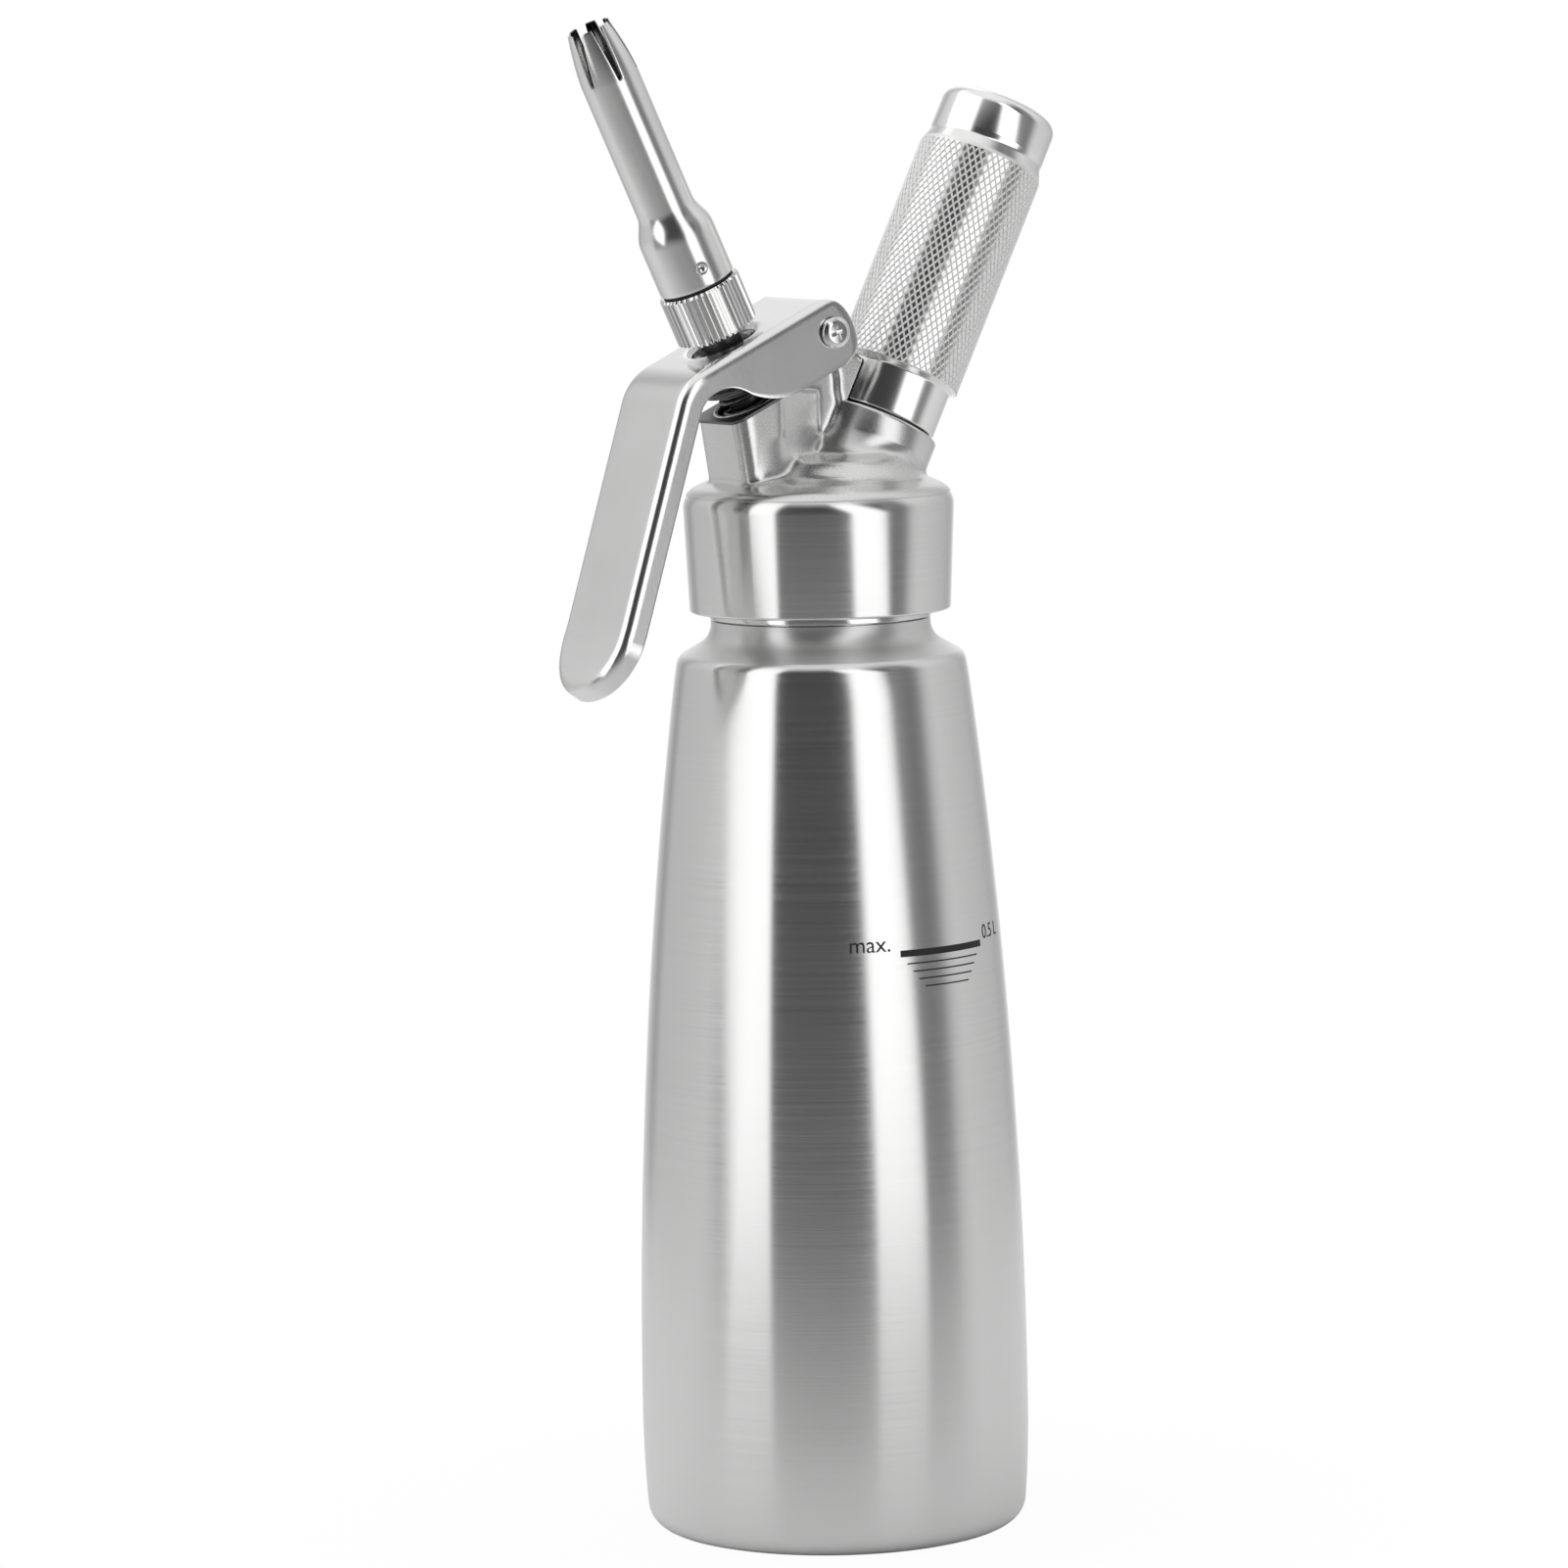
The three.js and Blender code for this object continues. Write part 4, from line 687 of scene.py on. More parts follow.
def castParts():
    d, low = lug, head["ceiling"] + spare
    eyeBack = (d["pivotX"] - d["eye"], d["pivotHeight"])
    rim = nozzleFrame @ Vector((turret["radius"] / 2, 0, turret["rim"] - turret["run"]))
    web = [(turret["back"], low), (rim.x - d["webDrop"], rim.z - d["webDrop"]), (rim.x, rim.z)]
    web += curve((rim.x, rim.z), (eyeBack[0], rim.z), eyeBack)[1:]
    web += [(d["pivotX"], d["pivotHeight"]), (d["waistX"], d["waistHeight"]),
            (d["rightX"], d["footTop"]), (d["rightX"], low)]
    waist = (d["waistX"], d["waistHeight"])
    eye = eyePoints()
    neck = curve(eye[-1], (d["waistX"], (d["pivotHeight"] + d["waistHeight"]) / 2), waist)
    toe = curve(waist, (d["waistX"], d["footTop"]), (d["waistX"] + d["toe"], d["footTop"] - d["toe"] / 2))
    arm = [(d["waistX"] + d["toe"], d["footTop"] - d["toe"]), (d["rightX"], d["footTop"]),
           (d["rightX"], d["waistHeight"])] + eye + neck[1:] + toe[1:]
    foot = [(d["footX"], low), (d["footX"], d["footTop"] - d["toe"] / 2),
            (d["footX"] + d["toe"] / 2, d["footTop"]), (d["rightX"], d["footTop"]), (d["rightX"], low)]
    boss = turnedTool([
        (0, socket["bottom"]), (socket["foot"], socket["bottom"]), (socket["foot"], socket["footPlace"]),
        (socket["radius"], (socket["footPlace"] + socket["top"]) / 2),
        (socket["radius"], socket["top"] - socket["band"]), (0, socket["top"] - socket["band"]),
    ], holderFrame)
    mound = bmesh.new()
    place = Matrix.Translation((hump["x"], 0, hump["height"]))
    size = Matrix.Diagonal((hump["length"], hump["width"], hump["rise"], 1))
    bmesh.ops.create_uvsphere(mound, u_segments=64, v_segments=32, radius=1, matrix=place @ size)
    for vert in mound.verts:
        vert.co.z = min(vert.co.z, hump["top"])
    slabs = (slab(web, d["webHalf"]), slab(arm, d["half"]), slab(foot, d["footHalf"]))
    return turretBlock(low), *slabs, boss, mound


def rod(radius, low, high):
    # The outline of a plain cylinder.
    return [(0, low), (radius, low), (radius, high), (0, high)]


def turnedTool(points, place, sides=64):
    mesh = spun(points, sides, ring=points[0][0] > 0)
    mesh.transform(place)
    return mesh


holderRoom = {"collar": 11.65, "knurlPlace": 41.5, "knurl": 13, "end": 60}


def holderRoomTool():
    # Keeps the casting clear of the charger holder's collar and knurl.
    d, low = holderRoom, socket["top"]
    return turnedTool([
        (0, low), (d["collar"], low), (d["collar"], d["knurlPlace"]), (d["knurl"], d["knurlPlace"]),
        (d["knurl"], d["end"]), (0, d["end"]),
    ], holderFrame)


def eased(mesh, turns, test):
    # Smooths the surface where the test holds.
    verts = [vert for vert in mesh.verts if test(vert.co)]
    for _ in range(turns):
        bmesh.ops.smooth_vert(mesh, verts=verts, factor=0.5, use_axis_x=True, use_axis_y=True,
                              use_axis_z=True)


def inValley(point):
    # Where the turret, the lug and the boss rise from the crown.
    d = valley
    return (d["left"] < point.x < d["right"] and head["ceiling"] < point.z < d["top"]
            and point.xy.length < d["reach"])


def valveRoom():
    d, over = turret, turret["rim"] + 4 * spare
    return turnedTool([
        (0, d["boreBottom"]), (d["bore"], d["boreBottom"]), (d["bore"], d["pocketFloor"]),
        (d["pocket"], d["pocketFloor"]), (d["pocket"], over), (0, over),
    ], nozzleFrame)


def gasRoom():
    d = socket
    low, over = d["chamberFloor"] - d["boreLength"], d["spigotTop"] + 2 * spare
    return turnedTool([
        (0, low), (d["bore"], low), (d["bore"], d["chamberFloor"]), (d["chamber"], d["chamberFloor"]),
        (d["chamber"], d["chamberTop"]), (d["plugBore"], d["chamberTop"]), (d["plugBore"], d["plugTop"]),
        (d["mouth"], over), (0, over),
    ], holderFrame)


def addShell():
    # The turned skirt, with the thread that grips the neck.
    d = head
    shell = spun(rounded([
        (d["root"], d["rimHeight"], d["innerEdge"]), (d["rim"], d["rimHeight"], d["rimEdge"]),
        (d["skirt"], d["shoulder"], d["corner"]), (d["crownEdge"], d["crown"], d["crownRound"]),
        (0, d["crown"]), (0, d["ceiling"]), (d["ceilingRadius"], d["ceiling"]),
        (d["ceilingRadius"], d["gasketSeat"]), (d["root"], d["gasketSeat"]),
    ], steps=10), d["sides"], ring=True)
    shell = cut(shell, valveRoom(), gasRoom())
    piece("headShell", joined(shell, ridge(headThread)), "head", "bottle_steel", ["head_casting"])


def addCasting():
    d, s, t = head, socket, turret
    top = spun(rounded([
        (0, dome["foot"]), (d["skirt"] - dome["in"], dome["foot"]),
        (d["skirt"], d["shoulder"] + dome["over"], d["corner"]),
        (d["crownEdge"], d["crown"] + dome["over"], dome["edgeRound"]), (0, dome["top"]),
    ], steps=10), dome["sides"])
    cast = shaped(joined(top, *castParts()), ("REMESH", {"mode": "VOXEL", "voxel_size": lug["voxel"]}))
    eased(cast, lug["smoothing"], lambda point: True)
    eased(cast, valley["turns"], inValley)
    hollow = rod(d["skirt"] + 9 * spare, d["rimHeight"], d["ceiling"])
    overRim = rod(t["trim"], t["rim"] - t["face"], t["rim"] + 4 * spare)
    eyeHole = turnedTool(rod(lug["hole"], -lug["holeHalf"], lug["holeHalf"]), pivotFrame)
    cast = cut(cast, holderRoomTool(), turnedTool(hollow, Matrix(), 24), valveRoom(),
               turnedTool(overRim, nozzleFrame), gasRoom(), eyeHole)
    bore, seatFoot = s["seatBore"], s["top"] - s["seatDepth"]
    seat = turnedTool(rounded([
        (bore, seatFoot), (s["radius"], seatFoot), (s["radius"], s["top"], s["round"]), (bore, s["top"]),
    ]), holderFrame, 128)
    spigotFoot = s["top"] - 2 * spare
    spigot = turnedTool(rounded([
        (s["plugBore"], spigotFoot), (s["spigot"], spigotFoot),
        (s["spigot"], s["spigotTop"], s["spigotRound"]), (s["mouth"] - s["mouthEdge"], s["spigotTop"]),
        (s["plugBore"], s["plugTop"]),
    ]), holderFrame, 96)
    thread = ridge(socketThread)
    thread.transform(holderFrame)
    piece("headCasting", joined(cast, seat, spigot, thread), "head", "cast_steel", ["head_casting"], sharp=40)


def addTurretFace():
    # The turned face round the valve's bore, painted near black as a painted reflection in its polished
    # chamfer, and the bore's bright edge.
    t, across = turret, turret["rimHalf"]
    trim = t["rim"] - t["face"]
    low = trim - t["face"]
    face = roundedBlock([(-across, low), (-across, t["rim"]), (across, t["rim"]), (across, low)],
                        across, t["corner"])
    face = cut(face, spun(rod(t["faceHole"], trim - 2 * spare, t["rim"] + 2 * spare)))
    piece("turretFace", face, "head", "dark_steel", ["head_casting"], nozzleFrame)
    lip = wireSection(t["lip"], t["rim"] - t["lipSink"], t["lipWire"])
    piece("turretLip", spun(lip, 96, ring=True), "head", "polished_steel", ["head_casting"], nozzleFrame)


def addHead():
    addShell()
    addCasting()
    addTurretFace()


addHead()
print("head made")

# Lever: a flat blank with folded sides, laid along a path of plate, bend, paddle and flare

lever = {
    "width": 24, "sheet": 2, "fold": 2.1, "plateTop": 50.87, "rear": 17.99, "bendT": -16.84,
    "bendRadius": 11, "turn": 47.8, "paddle": 47.9, "flareRadius": 48, "flare": 18,
    "side": 5, "tipSide": 4, "cheek": 13.6, "cheekRear": 21.79, "cheekLift": 1.5, "cheekCorner": 4.5,
    "cheekStart": 6, "cheekPull": 0.3, "archStart": -4.6, "archStartDepth": 9.1, "archPull": -7.3,
    "archEnd": -11, "dish": 8, "dishRings": ((7.5, 0.2), (6.9, 1), (6.8, 1)), "edge": 0.3,
    "rearReach": 8, "foldSteps": 6, "sideRows": 10, "plateRows": 28, "bendRows": 12, "flareRows": 10,
    "topPoint": (-5, 9),
}
bendTangent = lever["bendRadius"] * tan(radians(lever["turn"]) / 2)
leverStops = {"bend": lever["rear"] - lever["bendT"] - bendTangent}
leverStops["paddle"] = leverStops["bend"] + lever["bendRadius"] * radians(lever["turn"])
leverStops["flare"] = leverStops["paddle"] + lever["paddle"] - bendTangent
leverStops["tip"] = leverStops["flare"] + lever["flareRadius"] * radians(lever["flare"])


def leverPoint(along, deep):
    # (t, s) of a point that far along the sheet's outer face from the plate's rear edge, and below it.
    d, stops = lever, leverStops
    turn = radians(d["turn"])
    way = Vector((-cos(turn), -sin(turn)))
    inward = Vector((-way.y, way.x))
    if along <= stops["bend"]:
        return Vector((d["rear"] - along, d["plateTop"] - deep))
    if along <= stops["paddle"]:
        angle = pi / 2 + (along - stops["bend"]) / d["bendRadius"]
        centre = Vector((d["bendT"] + bendTangent, d["plateTop"] - d["bendRadius"]))
        return centre + Vector((cos(angle), sin(angle))) * (d["bendRadius"] - deep)
    corner = Vector((d["bendT"], d["plateTop"]))
    if along <= stops["flare"]:
        return corner + way * (bendTangent + along - stops["paddle"]) + inward * deep
    angle = (along - stops["flare"]) / d["flareRadius"]
    centre = corner + way * d["paddle"] - inward * d["flareRadius"]
    return centre + (inward * cos(angle) + way * sin(angle)) * (d["flareRadius"] + deep)


def onBend(value, start, pull, end, axis=0):
    # The other coordinate of a bend's point, where one coordinate has the given value.
    a, b, c = start[axis] - 2 * pull[axis] + end[axis], 2 * (pull[axis] - start[axis]), start[axis] - value
    if abs(a) < 1e-9:
        k = -c / b
    else:
        k = (-b + (1 if end[axis] > start[axis] else -1) * sqrt(b * b - 4 * a * c)) / (2 * a)
    other = 1 - axis
    return (1 - k) ** 2 * start[other] + 2 * k * (1 - k) * pull[other] + k * k * end[other]


def sideDepth(along, across):
    # How deep the folded side is there.
    d = lever
    t = d["rear"] - along
    if t > d["cheekStart"]:
        return d["cheek"]
    middle = (d["archStart"], d["archStartDepth"])
    if t > d["archStart"]:
        return onBend(t, (d["cheekStart"], d["cheek"]), (d["cheekPull"], d["cheek"]), middle)
    if t > d["archEnd"]:
        return onBend(t, middle, (d["archPull"], d["side"]), (d["archEnd"], d["side"]))
    centre = leverStops["tip"] - d["width"] / 2
    if along > centre:
        share = atan2(along - centre, abs(across)) / (pi / 2)
        return d["side"] + (d["tipSide"] - d["side"]) * share ** 2
    return d["side"]


def rearShift(deep):
    # How far the cheek's rear edge stands out past the plate's.
    d = lever
    half = d["cheek"] / 2
    if deep < half:
        t = onBend(deep, (d["rear"], 0), (d["cheekRear"], d["cheekLift"]), (d["cheekRear"], half), axis=1)
    else:
        t = onBend(min(deep, d["cheek"]), (d["cheekRear"], half), (d["cheekRear"], d["cheek"]),
                   (d["cheekRear"] - d["cheekCorner"], d["cheek"]), axis=1)
    return t - d["rear"]


def leverBlank():
    d = lever
    half, tip = d["width"] / 2 - d["fold"], leverStops["tip"] - d["width"] / 2
    mesh = bmesh.new()
    outline = [(0, -half)]
    outline += [(tip + half * sin(radians(a)), -half * cos(radians(a))) for a in range(0, 181, 6)]
    outline.append((0, half))
    verts = [mesh.verts.new((x, y, 0)) for x, y in outline]
    sides = [mesh.edges.new(pair) for pair in zip(verts, verts[1:])]
    rear = mesh.edges.new((verts[-1], verts[0]))
    hole = bmesh.ops.create_circle(mesh, segments=64, radius=d["dish"],
                                   matrix=Matrix.Translation((d["rear"], 0, 0)))
    rim = list({edge for vert in hole["verts"] for edge in vert.link_edges})
    bmesh.ops.triangle_fill(mesh, edges=sides + [rear] + rim, use_beauty=True)
    return mesh, sides, rim


def fromSpine(vert):
    # The nearest point of the blank's middle line, and the way out from it.
    d = lever
    centre = Vector((min(vert.co.x, leverStops["tip"] - d["width"] / 2), 0, 0))
    return centre, (Vector((vert.co.x, vert.co.y, 0)) - centre).normalized()


def extruded(mesh, edges):
    made = bmesh.ops.extrude_edge_only(mesh, edges=edges)["geom"]
    return ([item for item in made if isinstance(item, bmesh.types.BMVert)],
            [item for item in made if isinstance(item, bmesh.types.BMEdge)])


def dished(mesh, rim):
    # Draws the plate down round the stem, ring by ring.
    d = lever
    for reach, deep in d["dishRings"]:
        verts, rim = extruded(mesh, rim)
        for vert in verts:
            way = Vector((vert.co.x - d["rear"], vert.co.y, 0)).normalized()
            vert.co = Vector((d["rear"], 0, -deep)) + way * reach


def folded(mesh, loop):
    d = lever
    half = d["width"] / 2 - d["fold"]
    for i in range(1, d["foldSteps"] + 1):
        verts, loop = extruded(mesh, loop)
        angle = pi / 2 * i / d["foldSteps"]
        for vert in verts:
            centre, way = fromSpine(vert)
            vert.co = centre + way * (half + d["fold"] * sin(angle))
            vert.co.z = -d["fold"] * (1 - cos(angle))


def sidesDrawn(mesh):
    # Draws the sides down from the fold, to their own depth at each place.
    d = lever
    loop = [edge for edge in mesh.edges if edge.is_boundary
            and all(vert.co.z < -d["fold"] * 0.99 for vert in edge.verts)]
    for i in range(1, d["sideRows"] + 1):
        verts, loop = extruded(mesh, loop)
        share = i / d["sideRows"]
        for vert in verts:
            deep = sideDepth(vert.co.x, vert.co.y)
            vert.co.z = -(d["fold"] + (deep - d["fold"]) * share)


def addLever():
    d, stops = lever, leverStops
    mesh, sides, rim = leverBlank()
    dished(mesh, rim)
    folded(mesh, sides)
    rows = spaced(0, stops["bend"], d["plateRows"])[1:]
    rows += spaced(stops["bend"], stops["paddle"], d["bendRows"]) + [stops["paddle"]]
    rows += spaced(stops["flare"], stops["tip"], d["flareRows"])
    for along in rows:
        bmesh.ops.bisect_plane(mesh, geom=everything(mesh), dist=1e-4, plane_co=(along, 0, 0),
                               plane_no=(1, 0, 0))
    sidesDrawn(mesh)
    for vert in mesh.verts:  # bends the flat blank along its path
        along, deep = vert.co.x, -vert.co.z
        inDish = hypot(along - d["rear"], vert.co.y) < d["dish"] + 0.01
        if along < d["rearReach"] and deep > 0 and not inDish:
            along -= rearShift(deep) * (1 - along / d["rearReach"])
        t, s = leverPoint(along, deep)
        vert.co = (t, vert.co.y, s)
    bmesh.ops.recalc_face_normals(mesh, faces=mesh.faces)
    topPoint = Vector((*d["topPoint"], d["plateTop"]))
    top = min(mesh.faces, key=lambda face: (face.calc_center_median() - topPoint).length)
    if top.normal.z < 0:
        bmesh.ops.reverse_faces(mesh, faces=mesh.faces)
    mesh = shaped(mesh, ("SOLIDIFY", {"thickness": d["sheet"], "offset": -1, "use_even_offset": True}),
                  softened(d["edge"]))
    piece("lever", mesh, "lever", "lever", ["lever"], nozzleFrame, sharp=30)


addLever()
print("lever made")

# Pivot: a cross-head screw, its nut and the bush that it passes

pivot = {
    "shank": 1.75, "tail": 1.6, "head": 3.1, "face": 12.3, "headHeight": 1.4, "headEdge": 0.4,
    "crown": 2.17, "crownDrop": 0.1, "crownRound": 1.2, "recessSpan": 3.2, "recessWidth": 0.7,
    "recessDepth": 1.1, "recessTurn": 20, "recessEdge": 0.2, "nut": 3.4, "nutHeight": 3.2, "nutRound": 0.7,
    "nutBore": 2.4, "slack": 0.3, "bush": 3.1, "bushHalf": 9.7, "edge": 0.3, "innerEdge": 0.2,
}


def recessArm(place):
    # One bar of the cross in the screw's head.
    d = pivot
    size = Matrix.Diagonal((d["recessSpan"], d["recessWidth"], 2 * d["recessDepth"], 1))
    mesh = bmesh.new()
    bmesh.ops.create_cube(mesh, size=1, matrix=place @ size)
    bmesh.ops.bevel(mesh, geom=mesh.edges[:], offset=d["recessWidth"] * d["recessEdge"],
                    offset_type="OFFSET", segments=2, profile=0.5, affect="EDGES", material=-1)
    return mesh


def addPivot():
    d = pivot
    top, foot, clear = d["face"] + d["headHeight"], -d["face"] - d["tail"], d["shank"] + d["slack"]
    screw = spun(rounded([
        (0, foot), (d["shank"], foot, d["edge"]), (d["shank"], d["face"]), (d["head"], d["face"]),
        (d["head"], d["face"] + d["headHeight"] / 2, d["headEdge"]),
        (d["crown"], top - d["crownDrop"], d["crownRound"]), (0, top),
    ]), 64)
    for turn in (0, 90):  # the cross recess
        place = Matrix.Translation((0, 0, top)) @ Matrix.Rotation(radians(d["recessTurn"] + turn), 4, "Z")
        screw = cut(screw, recessArm(place))
    piece("pivotScrew", screw, "lever", "polished_steel", ["pivot_screw"], pivotFrame)
    nut = spun(rounded([(0, 0), (d["nut"], 0, d["edge"]), (d["nut"], d["nutHeight"], d["nutRound"]),
                        (0, d["nutHeight"])]), 6)
    nut = cut(nut, spun(rod(clear, -spare, d["nutBore"]), 32))
    under = Matrix.Translation((0, 0, -d["face"])) @ Matrix.Rotation(pi, 4, "X")
    piece("pivotNut", nut, "lever", "polished_steel", ["pivot_nut"], pivotFrame @ under, sharp=25)
    end = d["bushHalf"]
    bush = rounded([(clear, -end, d["innerEdge"]), (d["bush"], -end, d["edge"]), (d["bush"], end, d["edge"]),
                    (clear, end, d["innerEdge"])])
    piece("pivotBush", spun(bush, 64, ring=True), "head", "polished_steel", ["pivot_bush"], pivotFrame)


addPivot()
print("pivot made")

# Valve: hollow stem, seal, nut, ring and spring, along the nozzle's axis

stem = {
    "bore": 1.5, "boreFloor": 13.27, "tail": 2.6, "bottom": 6.97, "tailTop": 9.97, "tailEdge": 0.5,
    "waist": 3.2, "waistStart": 11.97, "waistEnd": 16.87, "land": 4.3, "landStart": 17.47,
    "landEnd": 24.27, "groove": 2.45, "grooveStart": 19.67, "grooveWidth": 2.2, "shank": 3.7,
    "flange": 7.6, "flangePlace": 41.37, "flangeThickness": 1.2, "sleeve": 5.6, "sleeveFoot": 0.2,
    "sleeveTop": 47.17, "neck": 3.8, "top": 60.77, "edge": 0.3, "topEdge": 0.4,
}
spring = {"radius": 4.95, "wire": 0.5, "bottom": 25.55, "top": 40.6, "turns": 6, "pressed": 3.1}


def addValve():
    d = stem
    flangeTop = d["flangePlace"] + d["flangeThickness"]
    grooveEnd = d["grooveStart"] + d["grooveWidth"]
    outline = rounded([
        (d["bore"], d["boreFloor"]), (0, d["boreFloor"]), (0, d["bottom"]),
        (d["tail"], d["bottom"], d["tailEdge"]), (d["tail"], d["tailTop"]), (d["waist"], d["waistStart"]),
        (d["waist"], d["waistEnd"]), (d["land"], d["landStart"], d["edge"]), (d["land"], d["grooveStart"]),
        (d["groove"], d["grooveStart"]), (d["groove"], grooveEnd), (d["land"], grooveEnd),
        (d["land"], d["landEnd"], d["edge"]), (d["shank"], d["landEnd"] + d["edge"]),
        (d["shank"], d["flangePlace"]), (d["flange"], d["flangePlace"], d["edge"]),
        (d["flange"], flangeTop, d["edge"]), (d["sleeve"], flangeTop, d["sleeveFoot"]),
        (d["sleeve"], d["sleeveTop"], d["topEdge"]), (d["neck"], d["sleeveTop"]),
        (d["neck"], d["top"], d["topEdge"]), (d["bore"], d["top"], d["edge"]),
    ])
    # The stem is painted near black: painted shade for the stem seen in shadow under the lever.
    piece("valveStem", spun(outline, 96, ring=True), "valve", "dark_steel", ["valve_stem"], nozzleFrame)
    s = spring
    pitch = (s["top"] - s["bottom"]) / s["turns"]
    section = wireSection(s["radius"], s["bottom"], s["wire"])
    wire = [coiled(section, pitch, s["turns"])]
    for place in (s["bottom"], s["top"]):  # closed ends
        flat = [(x, z - s["bottom"] + place) for x, z in section]
        wire.append(spun(flat, 48, ring=True))
    item = piece("valveSpring", joined(*wire), "head", "spring_steel", ["valve_spring"], nozzleFrame)
    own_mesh(item)


addValve()
print("valve made")

# Knurled ring under the nozzle

adapter = {
    "radius": 8.15, "bottom": 52.82, "top": 63.07, "edge": 0.5, "ribs": 40, "perRib": 8, "depth": 0.42,
    "steep": 1.1, "bore": 2.6, "socket": 4.1, "socketTop": 60.9, "root": 5.3, "spigotTop": 71.77,
    "spigotEdge": 0.5, "ribsFrom": 7.85,
}
adapterThread = {
    "root": 5.2, "crest": 5.95, "flank": 0.85, "top": 0.35, "pitch": 2, "turns": 2.75, "start": 65.57,
}


def ribbed(mesh, d):
    # Presses straight grooves into the outermost wall.
    for vert in mesh.verts:
        reach = vert.co.xy.length
        if reach > d["ribsFrom"]:
            wave = cos(atan2(vert.co.y, vert.co.x) * d["ribs"])
            share = min(1, max(0, 0.5 - wave * d["steep"]))
            vert.co.xy *= 1 - d["depth"] * share / reach
    return mesh


def addAdapter():
    d = adapter
    outline = rounded([
        (d["socket"], d["bottom"]), (d["radius"] - d["edge"], d["bottom"]),
        (d["radius"], d["bottom"] + d["edge"]), (d["radius"], d["top"] - d["edge"]),
        (d["radius"] - d["edge"], d["top"]), (d["root"], d["top"]),
        (d["root"], d["spigotTop"], d["spigotEdge"]),
        (d["bore"], d["spigotTop"]), (d["bore"], d["socketTop"]), (d["socket"], d["socketTop"]),
    ])
    ring = ribbed(spun(outline, d["ribs"] * d["perRib"], ring=True), d)
    piece("adapterRing", joined(ring, ridge(adapterThread)), "valve", "polished_steel", ["tip_adapter"],
          nozzleFrame, sharp=24)


addAdapter()
print("adapter made")

# Nozzle: a drawn tube whose mouth is cut into prongs

nozzle = {
    "bell": 7.6, "bottom": 63.75, "bellTop": 73.4, "slope": 6.5, "slopePower": 1.2,
    "shaft": 5.8, "wall": 0.9, "taperStart": 107.4, "taperPower": 1.5, "mouth": 4.3, "mouthPlace": 118.37,
    "mouthWall": 0.6, "thinned": 6, "edge": 0.12, "prongs": 6, "slot": 11, "slotHalf": 1.2,
    "slotRound": 0.45, "slotTurn": -8, "dimpleAngle": -12.5, "dimplePlace": 67.6, "dimple": 1.4,
    "dimpleOut": 0.45, "columns": 8, "bellRows": 14, "slopeRows": 12, "shaftRows": 16, "roundRows": 5,
    "slotRows": 20,
}
nozzleThread = {
    "root": 6.5, "crest": 5.75, "flank": 0.85, "top": 0.35, "pitch": 2, "turns": 2.75, "start": 64.57,
}


def nozzleRadius(place):
    d = nozzle
    if place <= d["bellTop"]:
        return d["bell"]
    if place <= d["bellTop"] + d["slope"]:
        share = (place - d["bellTop"]) / d["slope"]
        return d["shaft"] + (d["bell"] - d["shaft"]) * (0.5 + 0.5 * cos(pi * share ** d["slopePower"]))
    if place <= d["taperStart"]:
        return d["shaft"]
    share = (place - d["taperStart"]) / (d["mouthPlace"] - d["taperStart"])
    return d["shaft"] - (d["shaft"] - d["mouth"]) * share ** d["taperPower"]


def slotHalf(place):
    # Half the slot's width at that place: a round floor that opens as a wedge.
    d = nozzle
    rise = place - (d["mouthPlace"] - d["slot"])
    if rise <= 0:
        return 0
    straight = d["slotRound"] + (d["slotHalf"] - d["slotRound"]) * rise / d["slot"]
    if rise < d["slotRound"]:
        return min(straight, sqrt(d["slotRound"] ** 2 - (d["slotRound"] - rise) ** 2))
    return straight


def nozzlePlaces():
    # The rows of the tube's wall, from the socket's end to the mouth.
    d = nozzle
    shaftStart, slotFloor = d["bellTop"] + d["slope"], d["mouthPlace"] - d["slot"]
    straight = slotFloor + d["slotRound"]
    return [
        *spaced(d["bottom"], d["bellTop"], d["bellRows"]), *spaced(d["bellTop"], shaftStart, d["slopeRows"]),
        *spaced(shaftStart, slotFloor, d["shaftRows"]),
        *(slotFloor + d["slotRound"] * (1 - cos(pi / 2 * i / d["roundRows"])) for i in range(d["roundRows"])),
        *spaced(straight, d["mouthPlace"], d["slotRows"]), d["mouthPlace"],
    ]


